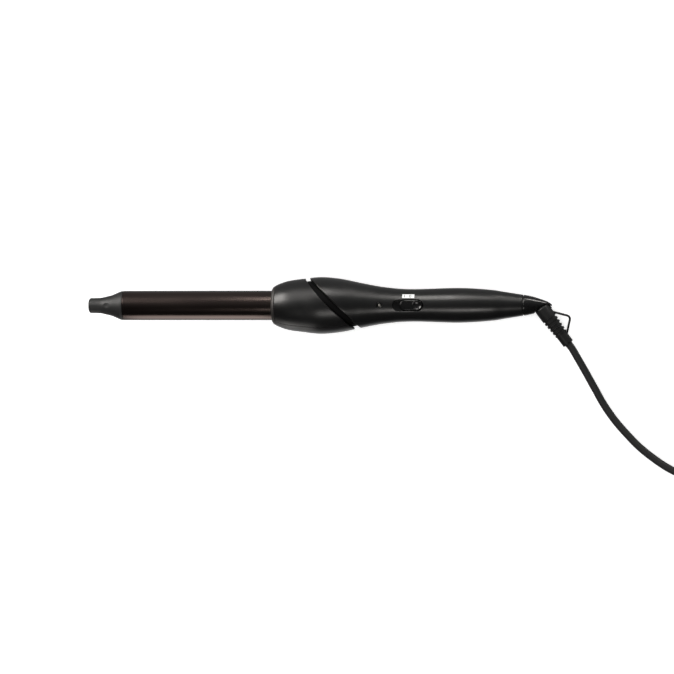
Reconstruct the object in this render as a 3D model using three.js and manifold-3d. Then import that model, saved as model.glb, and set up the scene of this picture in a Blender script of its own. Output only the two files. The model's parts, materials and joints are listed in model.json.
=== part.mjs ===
// A curling wand: cool tip, heated barrel, bulbous two-tone body with a slide switch, and a cord that
// swivels on the body's rear. Millimetres, +Z up. The iron lies on its bulge and its belly, tip toward -X.
import * as THREE from "three";
import { mergeVertices } from "three/addons/utils/BufferGeometryUtils.js";
import Module from "manifold-3d";

const wasm = await Module();
wasm.setup();

// ---------------------------------------------------------------- driving dimensions
// "along" stations run on the iron's own axis, from the front of the tip toward the cord.
const FIT = 0.3; // gap between pieces that touch
const SLACK = 0.4; // gap between a piece and the one that slides or turns in it
const FINE = 28; // sides of the large turned pieces
const COARSE = 12; // sides of the small ones
const SIGHT_LEAN = 7.5; // degrees that the slanted groove's walls lean toward the cord

const TIP = { length: 29.7, frontRadius: 6.4, neckRadius: 7.4, edge: 1.8, spigot: 8.5 };
const DIMPLE = { along: 15.9, length: 4.4, width: 3.4, depth: 0.9 };
const BARREL = { length: 127.8, radius: 12.5, wall: 1, inTip: 0.3, inBody: 20 };
const COLLAR = { width: 2.8, frontWall: 1.8, belowBody: 0.6 };
const BODY = {
  toBulge: 38.8,
  toWaist: 76.7,
  toBelly: 39.2,
  toRear: 54.9,
  frontStep: 4.7,
  bulgeRadius: 24,
  waistRadius: 13.7,
  bellyRadius: 14.65,
  rearRadius: 8.9,
  wall: 2.2,
};
const SLEEVE = { wall: 1.6, front: 5, pastBulge: 37 };
const MOUNT = { length: 17, flange: 5 };
const SHELL_SEAM = 52; // degrees that the front shell's parting plane is turned from upright
const PLUG_DISC = { length: 4, hole: 1.9 };
const TIP_SCREW = { radius: 1.5, head: 3, headLength: 1.8, length: 17 };
const HEATER = { front: 15, length: 104, gap: 0.8 };
const ELEMENT = { length: 60, width: 14, height: 3.2 };
const SPRING = { length: 48, width: 11, sheet: 0.4, bow: 0.7 };
const FUSE = { radius: 2, length: 10 };
const SENSOR = { radius: 1.2, length: 6 };
const LEAD_RADIUS = 0.9;
const RECESS = { beforeWaist: 2.2, width: 10, depth: 2.5, floor: 1.8 };
const KNOB = { length: 19, width: 8.6, travel: 5.5, endGap: 0.85, stemLength: 7, stemWidth: 4.4, proud: 0.3 };
const DISH = { radius: 5, depth: 1.1 };
const LEGEND = { length: 10.8, width: 3.4, offset: 7.8, sheet: 0.4 };
const LENS = { beforeWaist: 26.1, radius: 1, bezel: 2.2, bezelDepth: 1.6 };
const SWITCH = { length: 21, width: 9, sliderLength: 3, sliderWidth: 2.4 };
const BOARD = { length: 92, width: 12.4, sheet: 1.6, top: -1.8, beforeWaist: 40.4 };
const CAPACITOR = { radius: 4.6, length: 11 };
const TRIAC = { length: 4.5, width: 10, height: 7 };
const LED = { radius: 1.5, length: 5.5 };
const SCREW = { radius: 1.25, head: 2.4, headLength: 1.7, length: 13, post: 3.5 };
const SCREW_ROWS = { pastSleeve: 9.3, pastBelly: 20.4, frontApart: 20.4, rearApart: 14.4 };
const NECK = { radius: 4.3, bore: 2.4, reach: 28.2 };
const CONTACT = { width: 3, pitch: 6, height: 1, reach: 26.7 };
const BRUSH = { width: 3, sheet: 0.4, length: 16 };
const CLIP = { sheet: 1, radius: 6, groove: 0.7, opening: 5 };
const CAP = { gap: 0.7, length: 23.6, pivot: 13, edge: 0.5 };
const BALL = { radius: 4.4, stem: 3, reach: 8 };
const RELIEF = {
  angle: 53,
  start: 2.7,
  radius: 6.5,
  head: 13.5,
  ribsEnd: 30.4,
  ribsRadius: 5.4,
  length: 40.5,
  collar: 4.85,
  spine: 3.8,
  cuts: 5,
  cutDepth: 1.7,
};
const TILT = { least: -5, most: 12 }; // degrees the cord end can tilt in the cap's mouth
const LOOP = { radius: 0.95, bend: 3, root: 10.1, corner: [23.2, 15.3], end: 34 };
const CORD = { radius: 3.15, sides: 10 };
// The cord on the floor, from the relief's end: x and y from there, z from the floor.
const CORD_ROUTE = [
  [3, -4, 7.6],
  [7.4, -11.6, 6.9],
  [13.9, -23.2, 5.5],
  [20.8, -35.8, 4.2],
  [31.5, -54.4, 3.4],
  [47.5, -74.4, 3.2],
  [68.5, -93.8, 3.2],
  [95.5, -109.6, 3.2],
  [124, -117, 3.2],
  [150, -118, 3.2],
];
const COIL = { centre: [150, -73.5], radius: 37.5, width: 20, height: 19.4, corner: 3 };
const TIE = { width: 8, sheet: 0.7 };
// The tail from the coil's top to the plug: x and y from the relief's end, z from the floor.
const TAIL_ROUTE = [
  [150, -118, 16.2],
  [165.9, -117.2, 15.4],
  [186.3, -109.8, 12],
  [199.3, -91.5, 8],
  [203.5, -70, 5],
  [205, -48, 3.6],
  [204, -25, 3.2],
  [200, -5, 3.2],
  [192.5, 12, 3.4],
  [183.5, 25, 4.6],
  [172.5, 32.5, 6.6],
];
const PLUG = {
  front: 118,
  across: 32.9,
  length: 36,
  width: 35.3,
  backWidth: 17,
  height: 13.7,
  corner: 4,
  relief: 10,
  reliefRadius: 4.6,
  pinRadius: 2,
  pinLength: 19,
  pinPitch: 18.8,
};

// ---------------------------------------------------------------- stations worked out from them
const tipEnd = TIP.length;
const barrelFront = tipEnd + BARREL.inTip;
const collarAt = tipEnd + BARREL.length;
const bodyFront = collarAt + COLLAR.width + FIT;
const barrelRear = bodyFront + BARREL.inBody;
const bulgeAt = bodyFront + BODY.toBulge;
const waistAt = bulgeAt + BODY.toWaist;
const bellyAt = waistAt + BODY.toBelly;
const rearAt = bellyAt + BODY.toRear;
const capAt = rearAt + CAP.gap;
const pivotAt = capAt + CAP.pivot;
const sleeveInset = BODY.wall + SLACK;
const sleeveFront = bodyFront + SLEEVE.front;
const sleeveRear = bulgeAt + SLEEVE.pastBulge;
const screwRows = [
  { along: sleeveRear + SCREW_ROWS.pastSleeve, apart: SCREW_ROWS.frontApart },
  { along: bellyAt + SCREW_ROWS.pastBelly, apart: SCREW_ROWS.rearApart },
];
const barrelBore = BARREL.radius - BARREL.wall;
const collarBore = BARREL.radius + SLACK;
const bodyFrontRadius = BARREL.radius + BODY.frontStep;
const switchAt = waistAt - RECESS.beforeWaist;
const recessLength = KNOB.length + KNOB.travel + 2 * KNOB.endGap;
const recessFloor = BODY.waistRadius - RECESS.depth;
const lensAt = waistAt - LENS.beforeWaist;
const boardFront = waistAt - BOARD.beforeWaist;
const boardRear = boardFront + BOARD.length;

// ---------------------------------------------------------------- shapes and booleans
const span = (from, to, step) => {
  const count = Math.max(1, Math.round(Math.abs(to - from) / step));
  return Array.from({ length: count + 1 }, (_, i) => from + ((to - from) * i) / count);
};

// A solid turned about the X axis from [along, radius] pairs. A flat of it faces straight down.
function turned(outline, sides = FINE) {
  const points = outline.map(([along, radius]) => new THREE.Vector2(radius, along));
  if (THREE.ShapeUtils.area(points) < 0) points.reverse();
  if (points.at(-1).x > 0 || points[0].x > 0) points.push(points[0].clone());
  return new THREE.LatheGeometry(points, sides, Math.PI / sides).rotateZ(-Math.PI / 2);
}

const rod = (radius, from, to, sides = COARSE) =>
  turned([[from, 0], [from, radius], [to, radius], [to, 0]], sides);

const upright = (radius, from, to, x, y, sides = COARSE) =>
  rod(radius, from, to, sides).rotateY(-Math.PI / 2).translate(x, y, 0);

// A block from one corner to the other.
function block(low, high) {
  const size = high.map((v, i) => v - low[i]);
  return new THREE.BoxGeometry(...size).translate(...high.map((v, i) => (v + low[i]) / 2));
}

// An outline in X and Y, raised from one height to another.
function prism(points, from, to) {
  const shape = new THREE.Shape(points.map(([x, y]) => new THREE.Vector2(x, y)));
  const raised = new THREE.ExtrudeGeometry(shape, { depth: to - from, bevelEnabled: false });
  return raised.translate(0, 0, from);
}

// The outline of a slot with round ends, long in X.
function stadium(length, width, steps = 8) {
  const half = (length - width) / 2;
  const ends = [[1, -90], [-1, 90]];
  return ends.flatMap(([side, start]) =>
    span(start, start + 180, 180 / steps).map((angle) => {
      const turn = THREE.MathUtils.degToRad(angle);
      return [side * half + (width / 2) * Math.cos(turn), (width / 2) * Math.sin(turn)];
    }),
  );
}

// A round wire along a curve.
function wire(curve, radius, sides, steps) {
  const ring = Array.from({ length: sides }, (_, i) => {
    const turn = (2 * Math.PI * i) / sides;
    return new THREE.Vector2(radius * Math.cos(turn), radius * Math.sin(turn));
  });
  return new THREE.ExtrudeGeometry(new THREE.Shape(ring), { extrudePath: curve, steps });
}

function solid(geometry) {
  const bare = geometry.clone();
  bare.deleteAttribute("normal");
  bare.deleteAttribute("uv");
  const merged = mergeVertices(bare, 1e-4);
  const mesh = new wasm.Mesh({
    numProp: 3,
    vertProperties: merged.attributes.position.array,
    triVerts: new Uint32Array(merged.index.array),
  });
  return new wasm.Manifold(mesh);
}

function geometryOf(made) {
  const mesh = made.getMesh();
  const geometry = new THREE.BufferGeometry();
  geometry.setAttribute("position", new THREE.BufferAttribute(mesh.vertProperties, 3));
  geometry.setIndex(new THREE.BufferAttribute(mesh.triVerts, 1));
  return geometry;
}

const join = (first, ...rest) =>
  geometryOf(rest.reduce((made, piece) => made.add(solid(piece)), solid(first)));
const cut = (first, ...rest) =>
  geometryOf(rest.reduce((made, piece) => made.subtract(solid(piece)), solid(first)));
const common = (first, ...rest) =>
  geometryOf(rest.reduce((made, piece) => made.intersect(solid(piece)), solid(first)));

// ---------------------------------------------------------------- the body's outer line
// Between two named stations, each flank point is a share of the way and a share of the change of radius.
const BODY_STATIONS = [
  [bodyFront, bodyFrontRadius, [0.253, 0.5], [0.606, 0.79]],
  [bulgeAt, BODY.bulgeRadius, [0.223, 0.155], [0.434, 0.48], [0.7, 0.835]],
  [waistAt, BODY.waistRadius],
  [bellyAt, BODY.bellyRadius, [0.48, 0.252], [0.73, 0.6]],
  [rearAt, BODY.rearRadius],
];
const bodyLine = new THREE.SplineCurve(
  BODY_STATIONS.flatMap(([along, radius, ...flank], i) => {
    const [nextAlong, nextRadius] = BODY_STATIONS[i + 1] ?? [along, radius];
    const between = flank.map(([way, change]) => [
      along + way * (nextAlong - along),
      radius + change * (nextRadius - radius),
    ]);
    return [[along, radius], ...between].map((p) => new THREE.Vector2(...p));
  }),
).getPoints(400);

function bodyRadius(along) {
  const found = bodyLine.findIndex((p) => p.x >= along);
  const next = found < 0 ? bodyLine.length - 1 : Math.max(1, found);
  const [a, b] = [bodyLine[next - 1], bodyLine[next]];
  return THREE.MathUtils.lerp(a.y, b.y, THREE.MathUtils.clamp((along - a.x) / (b.x - a.x), 0, 1));
}

const bodyOutline = (from, to, inset, step = 9) =>
  span(from, to, step).map((along) => [along, bodyRadius(along) - inset]);

// The body's skin between two stations, some way in from the outer line.
const bodySkin = (from, to, inset, wall) =>
  turned([...bodyOutline(from, to, inset), ...bodyOutline(from, to, inset + wall, 14).reverse()]);

const bodyCore = (from, to, inset) => turned([[from, 0], ...bodyOutline(from, to, inset), [to, 0]]);

// ---------------------------------------------------------------- the slanted groove
// Both edges as [along from the bulge, across], from the +Y flank to the -Y flank.
const GROOVE_FRONT = [[-17, 26], [-11.3, 17.3], [1.5, 2.2], [16.2, -11.4], [20.8, -16.3], [31, -22.5]];
const GROOVE_BACK = [[-12.6, 26], [-0.8, 13.1], [14, -1.9], [24.3, -11], [27.3, -15.1], [37, -21.7]];

function pastGroove(edge, farAlong) {
  const line = new THREE.SplineCurve(edge.map(([a, y]) => new THREE.Vector2(bulgeAt + a, y)));
  const seen = line.getPoints(12).map((p) => [p.x, p.y]);
  const [top, bottom] = [seen[0][1] + 10, seen.at(-1)[1] - 10];
  const ring = [[farAlong, top], [seen[0][0], top], ...seen, [seen.at(-1)[0], bottom], [farAlong, bottom]];
  if (THREE.ShapeUtils.area(ring.map(([x, y]) => new THREE.Vector2(x, y))) < 0) ring.reverse();
  const lean = Math.tan(THREE.MathUtils.degToRad(SIGHT_LEAN));
  const shear = new THREE.Matrix4().makeShear(0, 0, 0, 0, lean, 0);
  return prism(ring, -BODY.bulgeRadius - 5, BODY.bulgeRadius + 5).applyMatrix4(shear);
}

// ---------------------------------------------------------------- tip and barrel
function coolTip() {
  const spigot = barrelBore - FIT;
  const outline = [
    [0, 0],
    [0, TIP.frontRadius - TIP.edge],
    [TIP.edge * 0.3, TIP.frontRadius - TIP.edge * 0.3],
    [TIP.edge, TIP.frontRadius],
    [TIP.length * 0.27, TIP.frontRadius + 0.1],
    [TIP.length * 0.46, TIP.neckRadius],
    [TIP.length * 0.66, TIP.neckRadius + 1.3],
    [TIP.length * 0.82, TIP.neckRadius + 3.1],
    [TIP.length, BARREL.radius - 0.15],
    [TIP.length, spigot],
    [TIP.length + TIP.spigot, spigot],
    [TIP.length + TIP.spigot, 0],
  ];
  const pilotFront = TIP.length + TIP.spigot + PLUG_DISC.length - TIP_SCREW.length;
  const pilot = rod(TIP_SCREW.radius + FIT / 2, pilotFront, TIP.length + TIP.spigot + 1);
  const scoop = new THREE.SphereGeometry(1, 12, 8);
  scoop.scale(DIMPLE.length / 2, DIMPLE.width / 2, DIMPLE.depth);
  scoop.translate(DIMPLE.along, 0, TIP.neckRadius + 0.4);
  return cut(turned(outline), pilot, scoop);
}

const discFront = tipEnd + TIP.spigot + FIT;
const discRear = discFront + PLUG_DISC.length;

const tipDisc = () =>
  turned([
    [discFront, PLUG_DISC.hole],
    [discFront, barrelBore - FIT],
    [discRear, barrelBore - FIT],
    [discRear, PLUG_DISC.hole],
  ], COARSE);

const tipScrew = () =>
  turned([
    [discRear + FIT - TIP_SCREW.length, 0],
    [discRear + FIT - TIP_SCREW.length + 1, TIP_SCREW.radius],
    [discRear + FIT, TIP_SCREW.radius],
    [discRear + FIT, TIP_SCREW.head],
    [discRear + FIT + TIP_SCREW.headLength, TIP_SCREW.head],
    [discRear + FIT + TIP_SCREW.headLength, 0],
  ], COARSE);

const barrelTube = () =>
  turned([
    [barrelFront, barrelBore],
    [barrelFront, BARREL.radius],
    [barrelRear, BARREL.radius],
    [barrelRear, barrelBore],
  ]);

// ---------------------------------------------------------------- heater, inside the barrel
const heaterFront = tipEnd + HEATER.front;
const heaterRear = heaterFront + HEATER.length;
const heaterMiddle = (heaterFront + heaterRear) / 2;

// One of the two half-round aluminium blocks that clamp the element and press on the barrel.
function heaterHalf(side) {
  const core = rod(barrelBore - FIT, heaterFront, heaterRear, FINE);
  const reach = barrelBore + 1;
  const keep = block(
    [heaterFront - 1, -reach, side > 0 ? HEATER.gap / 2 : -reach],
    [heaterRear + 1, reach, side > 0 ? reach : -HEATER.gap / 2],
  );
  const room = side > 0 ? SPRING.bow + 2 * SPRING.sheet + FIT : 0;
  const pocketDepth = ELEMENT.height / 2 + FIT + room;
  const pocket = block(
    [heaterFront - 1, -ELEMENT.width / 2 - FIT, side > 0 ? 0 : -pocketDepth],
    [heaterRear + 1, ELEMENT.width / 2 + FIT, side > 0 ? pocketDepth : 0],
  );
  return cut(common(core, keep), pocket);
}

const heatingElement = () =>
  block(
    [heaterMiddle - ELEMENT.length / 2, -ELEMENT.width / 2, -ELEMENT.height / 2],
    [heaterMiddle + ELEMENT.length / 2, ELEMENT.width / 2, ELEMENT.height / 2],
  );

// The bowed leaf that pushes the halves apart.
function heaterSpring() {
  const foot = ELEMENT.height / 2 + FIT / 2;
  const leaf = (lift) =>
    span(-1, 1, 0.25).map((way) => [
      heaterMiddle + (way * SPRING.length) / 2,
      foot + lift + SPRING.bow * (1 - way * way),
    ]);
  const ring = [...leaf(0), ...leaf(SPRING.sheet).reverse()];
  return prism(ring, -SPRING.width / 2, SPRING.width / 2).rotateX(Math.PI / 2);
}

const thermalFuse = () => rod(FUSE.radius, heaterRear + 2, heaterRear + 2 + FUSE.length, 10).translate(0, 0, 4.5);

const temperatureSensor = () =>
  rod(SENSOR.radius, heaterRear + 2, heaterRear + 2 + SENSOR.length, 8).translate(0, 0, -5);

// A lead from the heater's rear, through the barrel's mount, down to the control board.
function heaterLead(side) {
  const path = new THREE.CatmullRomCurve3([
    new THREE.Vector3(heaterRear + 0.5, side * 4.5, 0),
    new THREE.Vector3(heaterRear + 14, side * 7, 0),
    new THREE.Vector3(barrelRear + 6, side * 8, 1),
    new THREE.Vector3(bulgeAt + 8, side * 9, 2),
    new THREE.Vector3(boardFront - 8, side * 6, 2),
    new THREE.Vector3(boardFront + 4, side * 4.5, BOARD.top + LEAD_RADIUS + FIT),
  ]);
  return wire(path, LEAD_RADIUS, 6, 18);
}

// ---------------------------------------------------------------- barrel mount, collar and front shell
const collarRing = () =>
  turned([
    [collarAt, collarBore],
    [collarAt, BARREL.radius + COLLAR.frontWall],
    [collarAt + COLLAR.width * 0.3, bodyFrontRadius - COLLAR.belowBody - 1],
    [collarAt + COLLAR.width, bodyFrontRadius - COLLAR.belowBody],
    [collarAt + COLLAR.width, collarBore],
  ]);

function barrelMount() {
  const front = bodyFront + BODY.wall + FIT;
  const rear = front + MOUNT.length;
  const bore = BARREL.radius + FIT;
  const inSleeve = (along) => bodyRadius(along) - sleeveInset - SLEEVE.wall - 2 * FIT;
  const neckRadius = inSleeve(sleeveFront);
  const flangeRadius = inSleeve(rear - MOUNT.flange);
  return turned([
    [front, bore],
    [front, neckRadius],
    [rear - MOUNT.flange, neckRadius],
    [rear - MOUNT.flange, flangeRadius],
    [rear, flangeRadius],
    [rear, bore],
  ]);
}

// The lamp's column passes the sleeve wherever the two meet.
const coreSleeve = () =>
  cut(
    bodySkin(sleeveFront, sleeveRear, sleeveInset, SLEEVE.wall),
    upright(LENS.bezel + FIT, 0, BODY.bulgeRadius, lensAt, 0),
  );

// The shell in front of the groove, one half on each side of a plane turned about the axis.
function frontShell(side) {
  const rear = bulgeAt + 36;
  const outer = bodyOutline(bodyFront, rear, 0, 6);
  const inner = bodyOutline(bodyFront + BODY.wall, rear, BODY.wall, 12).reverse();
  const lip = [[bodyFront + BODY.wall, collarBore], [bodyFront, collarBore]];
  const reach = BODY.bulgeRadius + 5;
  const half = block(
    [bodyFront - 5, -reach, side > 0 ? FIT / 2 : -reach],
    [rear + 5, reach, side > 0 ? reach : -FIT / 2],
  ).rotateX(THREE.MathUtils.degToRad(90 - SHELL_SEAM));
  return cut(common(turned([...outer, ...inner, ...lip]), half), pastGroove(GROOVE_FRONT, rear + 40));
}

// ---------------------------------------------------------------- handle shells
const handleFront = bulgeAt - 16;

function handleHalf(side) {
  const reach = BODY.bulgeRadius + 5;
  const half = block(
    [handleFront - 5, -reach, side > 0 ? FIT / 2 : -reach],
    [rearAt + 5, reach, side > 0 ? reach : -FIT / 2],
  );
  const posts = screwRows.flatMap(({ along, apart }) =>
    [-1, 1].map((across) => {
      const [from, to] = side > 0 ? [SLACK, reach] : [-reach, -SLACK];
      return upright(SCREW.post, from, to, along, (across * apart) / 2);
    }),
  );
  const inside = bodyCore(sleeveRear + FIT, rearAt - 2, 1);
  const ribs = [boardFront + 14, boardRear - 12].map((along) =>
    block([along, -BOARD.width / 2, -reach], [along + 2, BOARD.width / 2, BOARD.top - BOARD.sheet - FIT]),
  );
  const added = side > 0 ? [...posts, switchPad()] : [...posts, ...ribs];
  const skin = common(bodySkin(handleFront, rearAt, 0, BODY.wall), half);
  const made = join(skin, common(join(...added), inside, half));
  return cut(made, pastGroove(GROOVE_BACK, handleFront - 40), ...handleOpenings(side));
}

// The thick part of the wall under the switch's recess.
const switchPad = () =>
  block(
    [switchAt - recessLength / 2 - 2, -RECESS.width / 2 - 2, recessFloor - RECESS.floor],
    [switchAt + recessLength / 2 + 2, RECESS.width / 2 + 2, BODY.bulgeRadius],
  );

function handleOpenings(side) {
  const screwHoles = screwRows.flatMap(({ along, apart }) =>
    [-1, 1].flatMap((across) => {
      const place = [along, (across * apart) / 2];
      const bore = upright(SCREW.radius + FIT / 2, screwHead(), screwHead() + SCREW.length + 1, ...place);
      const counterbore = upright(SCREW.head + FIT, -BODY.bulgeRadius - 5, screwHead() + FIT / 2, ...place);
      return [bore, counterbore];
    }),
  );
  if (side < 0) return screwHoles;
  const high = BODY.bulgeRadius + 5;
  const recess = prism(stadium(recessLength, RECESS.width), recessFloor, high).translate(switchAt, 0, 0);
  const slotFront = knobFront() + (KNOB.length - KNOB.stemLength) / 2 - KNOB.travel - SLACK;
  const slotRear = knobFront() + (KNOB.length + KNOB.stemLength) / 2 + SLACK;
  const slotHalf = KNOB.stemWidth / 2 + SLACK;
  const slot = block([slotFront, -slotHalf, 0], [slotRear, slotHalf, high]);
  const lensHole = upright(LENS.bezel + FIT, 0, high, waistAt - LENS.beforeWaist, 0);
  return [...screwHoles, recess, slot, lensHole, legendPocket()];
}

const screwHead = () => -SCREW.length / 2 - 0.5;

function handleScrew({ along, apart }, across) {
  const low = screwHead();
  const outline = [
    [low - SCREW.headLength, 0],
    [low - SCREW.headLength, SCREW.head],
    [low, SCREW.head],
    [low, SCREW.radius],
    [low + SCREW.length - 1, SCREW.radius],
    [low + SCREW.length, 0],
  ];
  return turned(outline, 10).rotateY(-Math.PI / 2).translate(along, (across * apart) / 2, 0);
}

// ---------------------------------------------------------------- switch and lamp
const knobFront = () => switchAt + recessLength / 2 - KNOB.endGap - KNOB.length;
const knobTop = () => BODY.waistRadius + KNOB.proud;

function switchKnob() {
  const middle = knobFront() + KNOB.length / 2;
  const bottom = recessFloor + FIT;
  const plate = prism(stadium(KNOB.length, KNOB.width), bottom, knobTop()).translate(middle, 0, 0);
  const stemLow = recessFloor - RECESS.floor;
  const stem = block(
    [middle - KNOB.stemLength / 2, -KNOB.stemWidth / 2, stemLow],
    [middle + KNOB.stemLength / 2, KNOB.stemWidth / 2, bottom + 0.5],
  );
  const halfSocket = [SWITCH.sliderLength / 2 + FIT, SWITCH.sliderWidth / 2 + FIT];
  const socket = block(
    [middle - halfSocket[0], -halfSocket[1], stemLow - 1],
    [middle + halfSocket[0], halfSocket[1], bottom],
  );
  // A sphere that meets the top in a round dish of the stated radius and depth.
  const ball = (DISH.radius ** 2 + DISH.depth ** 2) / (2 * DISH.depth);
  const dish = new THREE.SphereGeometry(ball, 24, 18).rotateX(Math.PI / 2);
  dish.translate(knobFront() + KNOB.length - DISH.radius + 0.6, 0, knobTop() + ball - DISH.depth);
  return cut(join(plate, stem), socket, dish);
}

const switchTop = () => recessFloor - RECESS.floor - FIT;

function switchBody() {
  const halfLength = SWITCH.length / 2;
  const housing = block(
    [switchAt - halfLength, -SWITCH.width / 2, BOARD.top + FIT],
    [switchAt + halfLength, SWITCH.width / 2, switchTop()],
  );
  const middle = knobFront() + KNOB.length / 2;
  const half = SWITCH.sliderLength / 2 + SLACK;
  const slot = block(
    [middle - half - KNOB.travel, -SWITCH.sliderWidth / 2 - SLACK, switchTop() - 3],
    [middle + half, SWITCH.sliderWidth / 2 + SLACK, switchTop() + 1],
  );
  return cut(housing, slot);
}

function switchSlider() {
  const middle = knobFront() + KNOB.length / 2;
  return block(
    [middle - SWITCH.sliderLength / 2, -SWITCH.sliderWidth / 2, switchTop() - 3 + FIT],
    [middle + SWITCH.sliderLength / 2, SWITCH.sliderWidth / 2, recessFloor],
  );
}

// The legend plate is a patch of the body's skin, inlaid beside the switch on its +Y side.
const legendPatch = (grow, inset, wall) => {
  const half = [LEGEND.length / 2 + grow, LEGEND.width / 2 + grow];
  const column = block(
    [switchAt - half[0], LEGEND.offset - half[1], 0],
    [switchAt + half[0], LEGEND.offset + half[1], BODY.bulgeRadius],
  );
  return common(bodySkin(switchAt - LEGEND.length, switchAt + LEGEND.length, inset, wall), column);
};
const switchLegend = () => legendPatch(0, 0.05, LEGEND.sheet);
const legendPocket = () => legendPatch(0.15, -1, 1 + 0.05 + LEGEND.sheet + FIT / 2);

const lensTop = () => bodyRadius(lensAt) - 0.4;

const ledBezel = () =>
  cut(
    upright(LENS.bezel, lensTop() - LENS.bezelDepth, lensTop() + 0.2, lensAt, 0),
    upright(LENS.radius + FIT / 2, 0, BODY.bulgeRadius, lensAt, 0, 12),
  );

const ledTop = BOARD.top + FIT + LED.length;
const ledLens = () => upright(LENS.radius, ledTop + FIT, lensTop(), lensAt, 0);
const led = () => upright(LED.radius, BOARD.top + FIT, ledTop, lensAt, 0, 10);

// ---------------------------------------------------------------- control board
const controlBoard = () =>
  block(
    [boardFront, -BOARD.width / 2, BOARD.top - BOARD.sheet],
    [boardRear, BOARD.width / 2, BOARD.top],
  );

const capacitor = () =>
  rod(CAPACITOR.radius, -CAPACITOR.length / 2, CAPACITOR.length / 2, 12)
    .rotateZ(Math.PI / 2)
    .translate(switchAt + SWITCH.length / 2 + 9, 0, BOARD.top + CAPACITOR.radius + FIT);

const triac = () =>
  block(
    [boardRear - 20, -TRIAC.width / 2, BOARD.top + FIT],
    [boardRear - 20 + TRIAC.length, TRIAC.width / 2, BOARD.top + FIT + TRIAC.height],
  );

// ---------------------------------------------------------------- swivel, in the handle's rear
const neckFront = capAt - NECK.reach;
const contactFront = capAt - CONTACT.reach;
const clipFront = contactFront + 2 * CONTACT.pitch;
const bushFront = clipFront + CLIP.sheet + 2 * FIT;

const swivelBush = () =>
  turned([
    [bushFront, NECK.radius + SLACK],
    ...bodyOutline(bushFront, rearAt - 0.5, BODY.wall + FIT, 4),
    [rearAt - 0.5, NECK.radius + SLACK],
  ]);

const contactRing = (i) => {
  const front = contactFront + i * CONTACT.pitch;
  const bore = NECK.radius + FIT;
  return turned([
    [front, bore],
    [front, bore + CONTACT.height],
    [front + CONTACT.width, bore + CONTACT.height],
    [front + CONTACT.width, bore],
  ], COARSE);
};

// A sprung strip from the board to a contact ring, under the neck or over it.
function contactBrush(i) {
  const side = i ? 1 : -1;
  const end = contactFront + i * CONTACT.pitch + CONTACT.width - 0.5;
  const near = NECK.radius + FIT + CONTACT.height + SLACK;
  const heights = [side * near, side * (near + BRUSH.sheet)].sort((a, b) => a - b);
  return block([end - BRUSH.length, -BRUSH.width / 2, heights[0]], [end, BRUSH.width / 2, heights[1]]);
}

function retainingClip() {
  const bore = NECK.radius - CLIP.groove + FIT;
  const ring = turned([
    [clipFront + FIT, bore],
    [clipFront + FIT, CLIP.radius],
    [clipFront + FIT + CLIP.sheet, CLIP.radius],
    [clipFront + FIT + CLIP.sheet, bore],
  ], 20);
  const opening = block([clipFront - 5, -CLIP.opening / 2, 0], [clipFront + 5, CLIP.opening / 2, 20]);
  return cut(ring, opening);
}

// ---------------------------------------------------------------- cap and cord end
// The strain relief's own frame: X along it from the pivot, seen by the cap at the relief's angle.
const reliefTurn = THREE.MathUtils.degToRad(-RELIEF.angle);
const asRelief = (geometry, tilt = 0) =>
  geometry.rotateZ(reliefTurn - THREE.MathUtils.degToRad(tilt)).translate(pivotAt, 0, 0);

// All the room that the relief's head takes as it tilts in the cap's mouth.
function reliefRoom() {
  const grown = RELIEF.radius + SLACK;
  const outline = [
    [RELIEF.start - SLACK, 0],
    [RELIEF.start - SLACK, grown - 1.5],
    [RELIEF.start - SLACK + 1.2, grown],
    [RELIEF.head + 5, grown],
    [RELIEF.head + 5, 0],
  ];
  const tilts = span(TILT.least - 1, TILT.most + 1, 4);
  return join(...tilts.map((tilt) => asRelief(turned(outline, 20), tilt)));
}

function capHalf(side) {
  const capOutline = [
    [neckFront, 0],
    [neckFront, NECK.radius],
    [clipFront, NECK.radius],
    [clipFront, NECK.radius - CLIP.groove],
    [clipFront + CLIP.sheet + 2 * FIT, NECK.radius - CLIP.groove],
    [clipFront + CLIP.sheet + 2 * FIT, NECK.radius],
    [capAt, NECK.radius],
    [capAt, BODY.rearRadius - CAP.edge],
    [capAt + CAP.edge, BODY.rearRadius - 0.1],
    [capAt + CAP.length * 0.31, 7.45],
    [capAt + CAP.length * 0.56, 5.6],
    [capAt + CAP.length * 0.78, 3.8],
    [capAt + CAP.length * 0.93, 1.9],
    [capAt + CAP.length, 0],
  ];
  const bore = rod(NECK.bore, neckFront - 1, pivotAt);
  const seat = new THREE.SphereGeometry(BALL.radius + FIT, 16, 12).translate(pivotAt, 0, 0);
  const reach = BODY.bulgeRadius;
  const half = block(
    [neckFront - 5, -reach, side > 0 ? FIT / 2 : -reach],
    [capAt + CAP.length + 5, reach, side > 0 ? reach : -FIT / 2],
  );
  return cut(common(turned(capOutline, FINE), half), bore, seat, reliefRoom());
}

// The hard ball that the relief is moulded on.
function cordBall() {
  const ball = new THREE.SphereGeometry(BALL.radius, 16, 12);
  return asRelief(join(ball, rod(BALL.stem, 0, BALL.reach, 12)));
}

const ribStep = (RELIEF.ribsEnd - RELIEF.head) / RELIEF.cuts;

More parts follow.
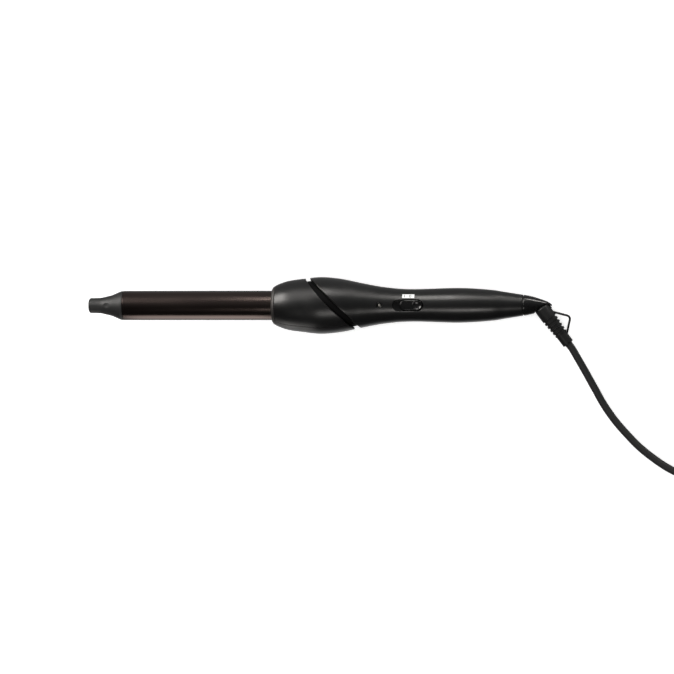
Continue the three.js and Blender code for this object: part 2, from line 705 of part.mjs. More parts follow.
function strainRelief() {
  const outline = [
    [RELIEF.start, 0],
    [RELIEF.start, RELIEF.radius - 1.3],
    [RELIEF.start + 0.4, RELIEF.radius - 0.5],
    [RELIEF.start + 1.2, RELIEF.radius],
    [RELIEF.head, RELIEF.radius],
    [RELIEF.ribsEnd, RELIEF.ribsRadius],
    [RELIEF.ribsEnd + 0.3, RELIEF.collar],
    [RELIEF.length - 0.4, RELIEF.collar],
    [RELIEF.length, RELIEF.collar - 0.4],
    [RELIEF.length, 0],
  ];
  const stemBore = rod(BALL.stem + FIT, 0, BALL.reach + FIT);
  const ballRoom = new THREE.SphereGeometry(BALL.radius + FIT, 16, 12);
  const ribCuts = Array.from({ length: RELIEF.cuts }, (_, i) => i).flatMap((i) =>
    [-1, 1].map((side) => {
      const from = RELIEF.head + (i + 0.2) * ribStep;
      const deep = RELIEF.ribsRadius - RELIEF.cutDepth;
      const ring = turned([
        [from, deep],
        [from, RELIEF.radius + 2],
        [from + ribStep * 0.45, RELIEF.radius + 2],
        [from + ribStep * 0.45, deep],
      ], COARSE);
      const reach = RELIEF.radius + 3;
      const [low, high] = side > 0 ? [RELIEF.spine / 2, reach] : [-reach, -RELIEF.spine / 2];
      return common(ring, block([from - 1, low, -reach], [from + ribStep, high, reach]));
    }),
  );
  const sockets = [
    [LOOP.root, RELIEF.radius],
    [LOOP.end, RELIEF.collar],
  ].map(([along, radius]) =>
    rod(LOOP.radius + FIT, radius - 1.5, radius + 3, 10).rotateZ(loopLean(along)).translate(along, 0, 0),
  );
  return asRelief(cut(turned(outline, 20), stemBore, ballRoom, ...ribCuts, ...sockets));
}

// The direction, in the relief's frame, in which the loop leaves its root or its end.
function loopLean(along) {
  const [x, y] = LOOP.corner;
  return Math.atan2(y - (along === LOOP.root ? RELIEF.radius : RELIEF.collar) * 0.6, x - along);
}

// The hanging loop: a straight run from the head, a rounded corner, and a straight run to the collar.
function hangingLoop() {
  const corner = new THREE.Vector3(LOOP.corner[0], LOOP.corner[1], 0);
  const foot = (along, radius) => {
    const lean = loopLean(along);
    const reach = radius - 1.2;
    return new THREE.Vector3(along + reach * Math.cos(lean), reach * Math.sin(lean), 0);
  };
  const [start, end] = [foot(LOOP.root, RELIEF.radius), foot(LOOP.end, RELIEF.collar)];
  const toward = (point) => corner.clone().lerp(point, LOOP.bend / corner.distanceTo(point));
  const path = new THREE.CurvePath();
  path.add(new THREE.LineCurve3(start, toward(start)));
  path.add(new THREE.QuadraticBezierCurve3(toward(start), corner, toward(end)));
  path.add(new THREE.LineCurve3(toward(end), end));
  return asRelief(wire(path, LOOP.radius, 8, 24));
}

// ---------------------------------------------------------------- rest attitude
// The tilt at which the bulge and the belly touch the floor together, found by halving.
function restTilt() {
  const depth = (tilt, from, to) =>
    Math.max(...span(from, to, 1).map((a) => a * Math.sin(tilt) + bodyRadius(a) * Math.cos(tilt)));
  let [low, high] = [0, 0.3];
  for (let i = 0; i < 40; i++) {
    const tilt = (low + high) / 2;
    const bulgeIsLower = depth(tilt, bodyFront, waistAt) > depth(tilt, waistAt, rearAt);
    [low, high] = bulgeIsLower ? [tilt, high] : [low, tilt];
  }
  return low;
}

// ---------------------------------------------------------------- cord, coil and plug, on the floor
const cordCurve = (points) => new THREE.CatmullRomCurve3(points, false, "centripetal");
const fromExit = (exit, route) => route.map(([x, y, z]) => new THREE.Vector3(exit.x + x, exit.y + y, z));
const cordTube = (curve, radius = CORD.radius) =>
  wire(curve, radius, CORD.sides, Math.ceil(curve.getLength() / (5 * CORD.radius)));

function coilRing(exit) {
  const [inner, outer] = [COIL.radius - COIL.width / 2, COIL.radius + COIL.width / 2];
  const ring = turned([
    [COIL.corner, inner],
    [0, inner + COIL.corner],
    [0, outer - COIL.corner],
    [COIL.corner, outer],
    [COIL.height - COIL.corner, outer],
    [COIL.height, outer - COIL.corner],
    [COIL.height, inner + COIL.corner],
    [COIL.height - COIL.corner, inner],
  ], 32);
  return ring.rotateY(-Math.PI / 2).translate(exit.x + COIL.centre[0], exit.y + COIL.centre[1], 0);
}

// The strap round the coil's -X side, or the room it takes.
function coilStrap(exit, grow) {
  const middle = [exit.x + COIL.centre[0] - COIL.radius, exit.y + COIL.centre[1]];
  const frame = (out, width) =>
    block(
      [middle[0] - COIL.width / 2 - out, middle[1] - width / 2, -out],
      [middle[0] + COIL.width / 2 + out, middle[1] + width / 2, COIL.height + out],
    );
  const inside = -TIE.sheet - grow;
  return cut(frame(grow, TIE.width + 2 * grow), frame(inside, TIE.width + 4));
}

function plugBody(exit) {
  const half = [PLUG.width / 2, PLUG.backWidth / 2];
  const outline = [
    [0, -half[0]],
    [PLUG.length * 0.42, -half[0]],
    [PLUG.length - 2, -half[1]],
    [PLUG.length, -half[1] + 2],
    [PLUG.length, half[1] - 2],
    [PLUG.length - 2, half[1]],
    [PLUG.length * 0.42, half[0]],
    [0, half[0]],
  ];
  const body = prism(outline, 0, PLUG.height);
  const relief = turned([
    [PLUG.length - 1, 0],
    [PLUG.length - 1, PLUG.reliefRadius],
    [PLUG.length + PLUG.relief, PLUG.reliefRadius - 0.8],
    [PLUG.length + PLUG.relief, 0],
  ], COARSE).translate(0, 0, PLUG.height / 2);
  return join(body, relief).translate(exit.x + PLUG.front, exit.y + PLUG.across, 0);
}

const plugPin = (exit, side) =>
  turned([
    [-PLUG.pinLength, 0],
    [-PLUG.pinLength, PLUG.pinRadius - 0.8],
    [-PLUG.pinLength + 1, PLUG.pinRadius],
    [-FIT, PLUG.pinRadius],
    [-FIT, 0],
  ], 12).translate(exit.x + PLUG.front, exit.y + PLUG.across + (side * PLUG.pinPitch) / 2, PLUG.height / 2);

// ---------------------------------------------------------------- materials
const material = (color, roughness, metalness = 0) =>
  new THREE.MeshStandardMaterial({ color, roughness, metalness });
const MATERIALS = {
  tip: material(0x3c3c3b, 0.55),
  barrel: material(0x3a322f, 0.35, 0.8),
  collar: material(0x6f6d6c, 0.45, 0.4),
  satin: material(0x1d1d1c, 0.42),
  gloss: material(0x111111, 0.15),
  rubber: material(0x181818, 0.6),
  aluminium: material(0xb8bcc0, 0.4, 1),
  steel: material(0xa0a4a8, 0.35, 1),
  brass: material(0xc8a050, 0.35, 1),
  ceramic: material(0xe8e2d4, 0.6),
  insulator: material(0x8a5a34, 0.7),
  board: material(0x1f5a36, 0.5),
  legend: material(0xf5f5f3, 0.5),
  lens: material(0xe8e4dc, 0.2),
};

// ---------------------------------------------------------------- assembly
const curlingIron = new THREE.Group();
const iron = new THREE.Group();
curlingIron.add(iron);

function add(group, name, geometry, look) {
  const mesh = new THREE.Mesh(geometry, MATERIALS[look]);
  mesh.name = name;
  group.add(mesh);
}

const SIDES = [["upper", 1], ["lower", -1]];
const POLES = ["live", "neutral"];

add(iron, "cool_tip", coolTip(), "tip");
add(iron, "tip_disc", tipDisc(), "insulator");
add(iron, "tip_screw", tipScrew(), "steel");
add(iron, "barrel_tube", barrelTube(), "barrel");
add(iron, "heating_element", heatingElement(), "ceramic");
add(iron, "heater_spring", heaterSpring(), "steel");
add(iron, "thermal_fuse", thermalFuse(), "steel");
add(iron, "temperature_sensor", temperatureSensor(), "ceramic");
add(iron, "collar_ring", collarRing(), "collar");
add(iron, "barrel_mount", barrelMount(), "insulator");
add(iron, "core_sleeve", coreSleeve(), "gloss");
for (const [name, side] of SIDES) {
  add(iron, `heater_block_${name}`, heaterHalf(side), "aluminium");
  add(iron, `front_shell_${name}`, frontShell(side), "satin");
  add(iron, `handle_shell_${name}`, handleHalf(side), "satin");
  add(iron, `swivel_cap_${name}`, capHalf(side), "gloss");
}
screwRows.forEach((place, row) =>
  [-1, 1].forEach((across, i) => {
    add(iron, `handle_screw_${2 * row + i + 1}`, handleScrew(place, across), "steel");
  }),
);
add(iron, "switch_knob", switchKnob(), "satin");
add(iron, "switch_slider", switchSlider(), "insulator");
add(iron, "switch_body", switchBody(), "gloss");
add(iron, "switch_legend", switchLegend(), "legend");
add(iron, "led_bezel", ledBezel(), "gloss");
add(iron, "led_lens", ledLens(), "lens");
add(iron, "led", led(), "lens");
add(iron, "control_board", controlBoard(), "board");
add(iron, "capacitor", capacitor(), "insulator");
add(iron, "triac", triac(), "gloss");
add(iron, "swivel_bush", swivelBush(), "insulator");
add(iron, "retaining_clip", retainingClip(), "steel");
POLES.forEach((pole, i) => {
  add(iron, `heater_lead_${pole}`, heaterLead(i ? 1 : -1), "ceramic");
  add(iron, `contact_ring_${pole}`, contactRing(i), "brass");
  add(iron, `contact_brush_${pole}`, contactBrush(i), "brass");
});
add(iron, "cord_ball", cordBall(), "satin");
add(iron, "strain_relief", strainRelief(), "rubber");
add(iron, "hanging_loop", hangingLoop(), "rubber");

// The iron lies down, and the middle of its underside is the origin.
iron.rotation.y = restTilt();
const extent = new THREE.Box3().setFromObject(iron, true);
const middle = extent.getCenter(new THREE.Vector3());
iron.position.set(-middle.x, -middle.y, -extent.min.z);
iron.updateMatrixWorld(true);

const reliefPoint = (along) =>
  iron.localToWorld(
    new THREE.Vector3(pivotAt + along * Math.cos(reliefTurn), along * Math.sin(reliefTurn), 0),
  );
const exit = reliefPoint(RELIEF.length + FIT);
const cordPath = cordCurve([exit, ...fromExit(exit, CORD_ROUTE)]);
const plugEnd = [PLUG.front + PLUG.length + PLUG.relief + FIT, PLUG.across, PLUG.height / 2];
const tailPath = cordCurve(fromExit(exit, [...TAIL_ROUTE, plugEnd]));
const grown = CORD.radius + FIT;

add(curlingIron, "cord_tube", cordTube(cordPath), "rubber");
add(curlingIron, "cord_tail", cordTube(tailPath), "rubber");
add(
  curlingIron,
  "cord_coil",
  cut(coilRing(exit), cordTube(cordPath, grown), cordTube(tailPath, grown), coilStrap(exit, FIT)),
  "rubber",
);
add(curlingIron, "coil_tie", coilStrap(exit, 0), "rubber");
add(curlingIron, "plug_body", plugBody(exit), "gloss");
POLES.forEach((pole, i) => add(curlingIron, `plug_pin_${pole}`, plugPin(exit, i ? 1 : -1), "steel"));

export default curlingIron;
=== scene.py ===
"""A clipless curling iron with its switch, swivelling cord and plug, on a plain pale floor.

Everything is in metres with +Z up. A piece of the iron is modelled on the iron's own axis, X along it from the
front of the cool tip and Z away from the floor, and is put in place last.
"""

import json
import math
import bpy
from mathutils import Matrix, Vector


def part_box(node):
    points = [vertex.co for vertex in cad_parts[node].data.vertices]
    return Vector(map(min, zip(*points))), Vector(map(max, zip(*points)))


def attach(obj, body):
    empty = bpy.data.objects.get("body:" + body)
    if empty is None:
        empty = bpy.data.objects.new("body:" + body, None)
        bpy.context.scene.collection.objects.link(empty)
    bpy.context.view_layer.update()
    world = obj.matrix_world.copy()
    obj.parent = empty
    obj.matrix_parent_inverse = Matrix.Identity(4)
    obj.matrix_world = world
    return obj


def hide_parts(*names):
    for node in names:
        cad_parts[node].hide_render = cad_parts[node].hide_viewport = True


bl_info = {
    "name": "Curling Wand",
    "version": (1, 0, 0),
    "blender": (4, 5, 0),
    "location": "View3D > Sidebar > Wand",
    "description": "Builds a curling wand, its cord and plug, and a plain studio round them",
    "category": "Object",
}

import bpy
from bpy.props import FloatProperty, FloatVectorProperty, IntProperty, PointerProperty
from mathutils import Matrix, Vector

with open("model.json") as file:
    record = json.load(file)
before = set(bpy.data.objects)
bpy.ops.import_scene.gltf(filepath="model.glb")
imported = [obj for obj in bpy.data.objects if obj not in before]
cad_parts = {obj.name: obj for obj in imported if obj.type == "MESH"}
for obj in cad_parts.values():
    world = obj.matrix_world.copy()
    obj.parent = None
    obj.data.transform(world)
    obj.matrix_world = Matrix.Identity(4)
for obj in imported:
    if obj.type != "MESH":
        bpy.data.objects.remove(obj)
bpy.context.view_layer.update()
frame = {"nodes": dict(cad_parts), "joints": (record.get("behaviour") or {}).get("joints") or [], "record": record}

MM = 0.001
JOINTS = {joint["name"]: joint for joint in frame["joints"]}
SLOTS = {part["node"]: part["material_slot"] for part in frame["record"]["subparts"]}


# ------------------------------------------------------------------ where the iron lies
# Stations along the iron's axis, in millimetres from the front of the cool tip.
TIP_END = 29.7
COLLAR = 157.5
BODY_FRONT = 160.6
BULGE = 199.4
WAIST = 276.1
BELLY = 315.3
BODY_REAR = 370.2
CAP_FRONT = 370.9
PIVOT = 383.9
SWITCH = WAIST - 2.2
LAMP = WAIST - 26.1
RELIEF_ANGLE = 53.0
# Tilts, in degrees, that the mouth's room is swept through: a degree more than the joint's limits.
TILTS = (-6, 0.5, 7, 13)
# Where the handle's screws stand: the station and the place across.
SCREW_PLACES = [(BULGE + 46.3, 10.2), (BULGE + 46.3, -10.2), (BELLY + 20.4, 7.2), (BELLY + 20.4, -7.2)]
# Heights on the iron's axis of a screw well's end and of the plate over it.
WELL_END = -7.2
SEAT = (-7.15, -5.6)
# Room between the knob and the recess's end at rest, and the rise of the recess's outer rim.
KNOB_ROOM = 0.85
RIM_RISE = 0.12 * 0.3
# Where the relief tapers, from the pivot, and the root of the socket and the seat that the ball turns in.
TAPER = (13.5, 30.4)
SEAT_RADIUS = 4.7
# Where the cord leaves the relief, from the pivot.
CORD_EXIT = 40.8

along = Vector(JOINTS["cord_swivel"]["axis"]).normalized()
upward = Vector(JOINTS["cord_tilt"]["axis"]).normalized()
sideways = upward.cross(along)
pivot = Vector(JOINTS["cord_tilt"]["pos_m"])
IRON = Matrix((along, sideways, upward)).transposed().to_4x4()
IRON.translation = pivot - along * PIVOT * MM
RELIEF = IRON @ Matrix.Translation((PIVOT * MM, 0, 0)) @ Matrix.Rotation(math.radians(-RELIEF_ANGLE), 4, "Z")


def facing(right, up, away, place):
    """A placement whose X, Y and Z point three ways."""
    return Matrix.Translation(place) @ Matrix((right, up, away)).transposed().to_4x4()


def linear(code):
    """The linear colour of an sRGB hex value such as #1d1d1c."""
    parts = [int(code[i : i + 2], 16) / 255 for i in (1, 3, 5)]
    return [p / 12.92 if p <= 0.04045 else ((p + 0.055) / 1.055) ** 2.4 for p in parts]


# ------------------------------------------------------------------ what a user would change
def length(name, description, value):
    return FloatProperty(name=name, description=description, default=value * MM, min=0.0, unit="LENGTH")


def colour(name, description, code):
    return FloatVectorProperty(
        name=name, description=description, default=linear(code), subtype="COLOR", size=3, min=0.0, max=1.0
    )


def brightness(name, description, value):
    return FloatProperty(name=name, description=f"Brightness of the {description}", default=value)


class WandSizes(bpy.types.PropertyGroup):
    """Sizes of the iron's own pieces."""

    barrel_radius: length("Barrel radius", "Outer radius of the heated barrel", 12.5)
    shell_wall: length("Shell wall", "Wall of the body's shells", 2.2)
    edge: length("Shell edge", "Softening of the shells' edges", 0.45)
    seam: length("Parting line", "Gap between two shells of the body", 0.4)
    recess_length: length("Recess length", "Length of the switch's recess", 26.2)
    recess_width: length("Recess width", "Width of the switch's recess", 10.0)
    recess_depth: length("Recess depth", "Depth of the recess below the waist", 2.5)
    knob_length: length("Knob length", "Length of the switch's knob", 19.0)
    knob_width: length("Knob width", "Width of the switch's knob", 8.6)
    legend_length: length("Legend length", "Length of the white legend", 10.2)
    legend_width: length("Legend width", "Width of the white legend", 3.1)
    bezel_radius: length("Lamp bezel radius", "Outer radius of the ring round the lamp", 2.2)
    screw_head: length("Screw head radius", "Radius of the handle screws' heads", 2.4)
    relief_radius: length("Relief radius", "Radius of the strain relief's head", 6.5)
    rib_cuts: IntProperty(name="Relief slots", description="Slots on each side of the relief", default=5, min=1)
    loop_radius: length("Loop wire radius", "Radius of the hanging loop's wire", 0.95)
    sides: IntProperty(name="Sides", description="Sides of the large round pieces", default=128, min=24)


class CordSizes(bpy.types.PropertyGroup):
    """Sizes of the cord, its coil and its plug."""

    diameter: length("Cord diameter", "Thickness of the round cord", 6.3)
    cord_length: length("Cord length", "Whole length of the cord from the relief to the plug", 2500)
    coil_radius: length("Coil radius", "Radius of the middle turns of the coil", 37.5)
    coil_step: length("Turn spacing", "Distance from one turn of the coil to the next", 6.5)
    tie_width: length("Tie width", "Width of the strap round the coil", 8.0)
    plug_width: length("Plug width", "Width of the plug at its pins", 35.3)
    plug_height: length("Plug height", "Thickness of the plug", 13.7)
    pin_pitch: length("Pin pitch", "Distance between the plug's pins", 18.8)


class WandColours(bpy.types.PropertyGroup):
    """Colours of the surfaces that show."""

    tip: colour("Cool tip", "Moulded heat-proof plastic of the tip", "#1b1b1a")
    barrel: colour("Barrel", "Brown-black coating of the barrel", "#4f4643")
    collar: colour("Collar", "Plated ring at the barrel's root", "#5b5958")
    satin: colour("Shells", "Black plastic of the body", "#070707")
    gloss: colour("Gloss parts", "Glossy black plastic of the cap and the switch's recess", "#060606")
    rubber: colour("Relief", "Black rubber of the strain relief and the loop", "#101010")
    jacket: colour("Cord", "Black jacket of the cord", "#1b1b1b")
    legend: colour("Legend", "White plate beside the switch", "#f8f8f6")
    mark: colour("Marks", "Grey marks on the legend", "#4c4c4a")


class StudioSettings(bpy.types.PropertyGroup):
    """The plain studio round the object."""

    floor: colour("Floor", "Pale floor", "#fafaf9")
    camera_lean: FloatProperty(
        name="Camera lean", description="Lean of the view from upright, toward the cord",
        default=math.radians(11.9), subtype="ANGLE",
    )
    camera_distance: length("Camera distance", "Distance of the camera from the iron", 4750)
    frame_width: length("Width in view", "Width of the view at the iron's height", 569.5)
    front_strip: brightness("Front strip", "strip in front of the handle", 5.2)
    back_strip: brightness("Back strip", "strip behind the handle", 2.3)
    shell_strip: brightness("Shell strip", "strip behind the front shells", 17.0)
    tip_box: brightness("Tip softbox", "light off the tip", 10.0)
    cap_box: brightness("Cap softbox", "light off the cap", 14.0)
    backdrop: brightness("Backdrop", "white backdrop", 1.15)
    card: brightness("Floor card", "white floor that shows in gloss", 0.8)
    barrel_card: brightness("Barrel card", "card in front of the barrel", 0.45)


# ------------------------------------------------------------------ materials
def node(tree, kind, inputs=(), **settings):
    """Adds a node with its settings, and its inputs as values or as links."""
    made = tree.nodes.new(kind)
    for key, value in settings.items():
        setattr(made, key, value)
    for name, value in dict(inputs).items():
        if isinstance(value, bpy.types.NodeSocket):
            tree.links.new(value, made.inputs[name])
        else:
            made.inputs[name].default_value = value
    return made


def noise(tree, size_mm, detail=3.0, stretch=(1, 1, 1)):
    """Noise whose grain is about the given size, on the piece's own coordinates."""
    place = node(tree, "ShaderNodeTexCoord").outputs["Object"]
    mapped = node(tree, "ShaderNodeMapping", {"Vector": place, "Scale": stretch})
    return node(
        tree, "ShaderNodeTexNoise",
        {"Vector": mapped.outputs["Vector"], "Scale": 1 / (size_mm * MM), "Detail": detail, "Roughness": 0.55},
    ).outputs["Fac"]


def between(tree, factor, low, high):
    """Turns a pattern into a value from low to high."""
    return node(
        tree, "ShaderNodeMapRange", {"Value": factor, "From Min": 0.3, "From Max": 0.7, "To Min": low, "To Max": high}
    ).outputs["Result"]


def tinted(tree, factor, base, shift):
    """The base colour, lighter or darker by a share as the pattern goes."""
    dark = [c * (1 - shift) for c in base] + [1]
    light = [min(1, c * (1 + shift)) for c in base] + [1]
    return node(
        tree, "ShaderNodeMix", {"Factor": factor, 6: dark, 7: light}, data_type="RGBA"
    ).outputs[2]


def finish(name, base, rough, metallic=0.0, grain=0.4, depth=0.02, shift=0.06, spread=0.05, stretch=(1, 1, 1), **more):
    """A material with a fine grain of a size in millimetres, as deep as depth says, and a slightly uneven sheen."""
    made = bpy.data.materials.new(name)
    made.use_nodes = True
    tree = made.node_tree
    shader = tree.nodes["Principled BSDF"]
    wide, fine = noise(tree, grain * 24, 2.0, stretch), noise(tree, grain, 3.0, stretch)
    tree.links.new(tinted(tree, wide, base, shift), shader.inputs["Base Color"])
    tree.links.new(between(tree, wide, rough - spread / 2, rough + spread / 2), shader.inputs["Roughness"])
    bump = node(tree, "ShaderNodeBump", {"Height": fine, "Strength": 0.5, "Distance": depth * MM})
    tree.links.new(bump.outputs["Normal"], shader.inputs["Normal"])
    shader.inputs["Metallic"].default_value = metallic
    for key, value in more.items():
        shader.inputs[key.replace("_", " ")].default_value = value
    return made


def make_finishes(hues):
    """Every finish by the name of its slot."""
    return {
        # Glass-filled PPS, moulded: heat-proof and dull grey-black, so the tip reads lighter and drier than the body.
        "tip_plastic": finish("tip_pps_plastic", hues.tip, 0.5, grain=0.35, depth=0.03),
        # Aluminium tube under a baked ceramic coating: a dark brown mirror, softened by a fine orange peel.
        "barrel_coating": finish(
            "barrel_ceramic_coating", hues.barrel, 0.2, 1.0, grain=0.5, depth=0.004, shift=0.05, spread=0.04,
            stretch=(0.25, 1, 1),
        ),
        # Plated zinc casting, bead blasted: a soft grey metal line between the barrel and the body.
        "collar_metal": finish("collar_blasted_plating", hues.collar, 0.55, 1.0, grain=0.3, depth=0.01),
        # ABS from a fine spark-eroded tool: satin black that spreads each light into a soft band.
        "shell_plastic": finish("front_shell_satin_abs", hues.satin, 0.35, grain=0.45, depth=0.012, IOR=1.53),
        "handle_plastic": finish("handle_satin_abs", hues.satin, 0.3, grain=0.45, depth=0.014, IOR=1.53),
        # The same ABS from a smoother tool: the knob is a little shinier where a thumb rubs it.
        "knob_plastic": finish("knob_rubbed_abs", hues.gloss, 0.2, grain=0.5, depth=0.006, IOR=1.53),
        # ABS from a polished tool: deep black with small bright lights in it.
        "cap_plastic": finish("cap_polished_abs", hues.gloss, 0.16, grain=0.8, depth=0.002, IOR=1.53),
        # ABS left rough from the tool: matt black, with its shine turned almost off as painted shade, so that the
        # groove over it reads as a dark line.
        "inner_plastic": finish("sleeve_abs_painted_shade", hues.gloss, 0.6, grain=0.5, depth=0.012, Specular_IOR_Level=0.08),
        # TPE, injection moulded: rubbery black with almost no shine.
        "relief_rubber": finish("relief_tpe_rubber", hues.rubber, 0.38, grain=0.3, depth=0.012, Specular_IOR_Level=0.4),
        # PVC, extruded: a dull charcoal jacket, a little lighter than the relief, with a faint drag along it.
        "cord_jacket": finish(
            "cord_extruded_pvc", hues.jacket, 0.5, grain=0.35, depth=0.02, shift=0.08, Specular_IOR_Level=0.3
        ),
        # Woven nylon hook-and-loop strap: dull black with a coarse nap.
        "tie_strap": finish("tie_nylon_strap", hues.rubber, 0.8, grain=0.6, depth=0.12, shift=0.3),
        # PVC, moulded on the cord: satin black.
        "plug_plastic": finish("plug_moulded_pvc", hues.satin, 0.42, grain=0.5, depth=0.02),
        # Nickel-plated brass: bright grey pin ends.
        "pin_metal": finish("pin_nickel_plating", linear("#c9c7c2"), 0.22, 1.0, grain=0.4, depth=0.003),
        # Polycarbonate film, printed white: flat and bright, the one light patch on the iron.
        "legend_plate": finish("legend_printed_film", hues.legend, 0.4, grain=0.6, depth=0.004, shift=0.01),
        "legend_mark": finish("legend_grey_ink", hues.mark, 0.5, grain=0.6, depth=0.003, shift=0.03),
        # Acrylic, frosted from behind: a small milky dot.
        "lens_plastic": finish(
            "lamp_frosted_acrylic", linear("#858179"), 0.18, grain=0.5, depth=0.003, Transmission_Weight=0.25
        ),
        # Paper-filled phenolic: brown and dry.
        "insulator": finish("phenolic_board", linear("#8a5a34"), 0.6, grain=0.9, depth=0.03, shift=0.15),
        # Extruded aluminium: pale and softly drawn along its length.
        "aluminium": finish("extruded_aluminium", linear("#cdcfd1"), 0.34, 1.0, grain=0.4, stretch=(0.05, 1, 1)),
        # Zinc-plated steel: cool grey with small dark lights.
        "steel": finish("zinc_plated_steel", linear("#b9bbbd"), 0.32, 1.0, grain=0.4, depth=0.006),
        # Rolled brass: warm yellow contacts.
        "brass": finish("rolled_brass", linear("#cfae6b"), 0.28, 1.0, grain=0.4, depth=0.004),
        # Polyimide film: amber and shiny.
        "heater_film": finish("polyimide_film", linear("#b5803a"), 0.25, grain=1.2, depth=0.01),
        # Dipped epoxy: a brown bead.
        "bead": finish("epoxy_bead", linear("#bd9762"), 0.3, grain=0.6, depth=0.02),
        # Epoxy-glass laminate with green lacquer.
        "circuit_board": finish("green_epoxy_laminate", linear("#1c5a35"), 0.35, grain=0.5, depth=0.01, shift=0.15),
        # Wound film in orange lacquer.
        "capacitor_case": finish("lacquered_film_capacitor", linear("#955d25"), 0.3, grain=1.0, depth=0.02),
        # Braided glass-fibre sleeving: off-white and rough.
        "lead_sleeve": finish("glass_fibre_sleeving", linear("#dcd8d2"), 0.8, grain=0.5, depth=0.15, shift=0.12),
    }


FINISHES = {}


# ------------------------------------------------------------------ modelling
def clear():
    """Leaves edit mode and deselects everything."""
    if bpy.context.object and bpy.context.object.mode != "OBJECT":
        bpy.ops.object.mode_set(mode="OBJECT")
    bpy.ops.object.select_all(action="DESELECT")


def take(piece):
    """Makes one piece the selected and active one."""
    clear()
    piece.select_set(True)
    bpy.context.view_layer.objects.active = piece
    return piece


def traced(points):
    """Draws points, in millimetres, as one chain of edges, and stays in edit mode with all of it selected."""
    clear()
    bpy.ops.mesh.primitive_plane_add(size=MM)
    bpy.ops.object.mode_set(mode="EDIT")
    bpy.ops.mesh.select_all(action="SELECT")
    bpy.ops.mesh.merge(type="CENTER")
    bpy.ops.transform.translate(value=Vector(points[0]) * MM)
    for last, point in zip(points, points[1:]):
        step = (Vector(point) - Vector(last)) * MM
        bpy.ops.mesh.extrude_vertices_move(TRANSFORM_OT_translate={"value": step})
    bpy.ops.mesh.select_all(action="SELECT")
    return bpy.context.object


def spun(outline, sides, start=0.0, sweep=360.0):
    """An outline of [along, radius] turned about X. Angles are from straight up toward +Y, in degrees."""
    turn = math.radians(start)
    piece = traced([(x, r * math.sin(turn), r * math.cos(turn)) for x, r in outline])
    bpy.ops.mesh.spin(steps=sides, angle=math.radians(sweep), center=(0, 0, 0), axis=(1, 0, 0))
    bpy.ops.mesh.select_all(action="SELECT")
    bpy.ops.mesh.remove_doubles(threshold=0.002 * MM)
    bpy.ops.mesh.normals_make_consistent(inside=False)
    bpy.ops.object.mode_set(mode="OBJECT")
    return piece


def raised(outline, low, high):
    """An outline in X and Y, raised from one height to another."""
    piece = traced([(x, y, low) for x, y in outline])
    bpy.ops.mesh.edge_face_add()
    bpy.ops.mesh.extrude_region_move(TRANSFORM_OT_translate={"value": (0, 0, (high - low) * MM)})
    bpy.ops.mesh.select_all(action="SELECT")
    bpy.ops.mesh.normals_make_consistent(inside=False)
    bpy.ops.object.mode_set(mode="OBJECT")
    return piece


def block(low, high):
    """A plain box from one corner to the other, which is only used to cut with or to be shaped further."""
    clear()
    middle = [(a + b) / 2 * MM for a, b in zip(low, high)]
    bpy.ops.mesh.primitive_cube_add(size=MM, location=middle)
    piece = bpy.context.object
    piece.scale = [b - a for a, b in zip(low, high)]
    bpy.ops.object.transform_apply()
    return piece


def post(radius, low, high, x, y, sides=48):
    """An upright round post."""
    clear()
    bpy.ops.mesh.primitive_cylinder_add(
        vertices=sides, radius=radius * MM, depth=(high - low) * MM, location=(x * MM, y * MM, (low + high) / 2 * MM)
    )
    bpy.ops.object.transform_apply()
    return bpy.context.object


def modify(piece, kind, **settings):
    """Adds a modifier and applies it."""
    take(piece)
    modifier = piece.modifiers.new(kind.title(), kind)
    for key, value in settings.items():
        setattr(modifier, key, value)
    bpy.ops.object.modifier_apply(modifier=modifier.name)
    return piece


def carve(piece, *cutters, operation="DIFFERENCE"):
    """Cuts the cutters out of the piece, or joins or keeps what they share, and removes them."""
    for cutter in cutters:
        modify(piece, "BOOLEAN", object=cutter, operation=operation, solver="EXACT")
        bpy.data.objects.remove(cutter)
    return piece


def halve(piece, co, no):
    """Keeps the part of a closed piece on the side that the direction points to, and closes the cut."""
    take(piece)
    bpy.ops.object.mode_set(mode="EDIT")
    bpy.ops.mesh.select_all(action="SELECT")
    bpy.ops.mesh.bisect(plane_co=Vector(co) * MM, plane_no=no, use_fill=True, clear_inner=True)
    bpy.ops.object.mode_set(mode="OBJECT")
    return piece


def copy_of(piece):
    """A copy with a mesh of its own."""
    take(piece)
    bpy.ops.object.duplicate()
    return bpy.context.object


def merged(pieces):
    """Several pieces as one object."""
    clear()
    for piece in pieces:
        piece.select_set(True)
    bpy.context.view_layer.objects.active = pieces[0]
    bpy.ops.object.join()
    return bpy.context.object


def soften(piece, width, angle=40, segments=2):
    """A small bevel on the edges sharper than an angle."""
    return modify(
        piece, "BEVEL", width=width * MM, segments=segments, limit_method="ANGLE",
        angle_limit=math.radians(angle), use_clamp_overlap=True,
    )


def complete(piece, name, slot, body, nodes, place=IRON, smooth=35):
    """Puts a piece in its place and gives it its name, its finish, its body and the CAD nodes it stands for."""
    take(piece)
    piece.data.transform(place)
    piece.data.update()
    bpy.ops.object.shade_smooth_by_angle(angle=math.radians(smooth))
    piece.name = piece.data.name = name
    piece.data.materials.clear()
    piece.data.materials.append(FINISHES[slot])
    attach(piece, body)
    if nodes:
        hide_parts(*nodes)
    return piece


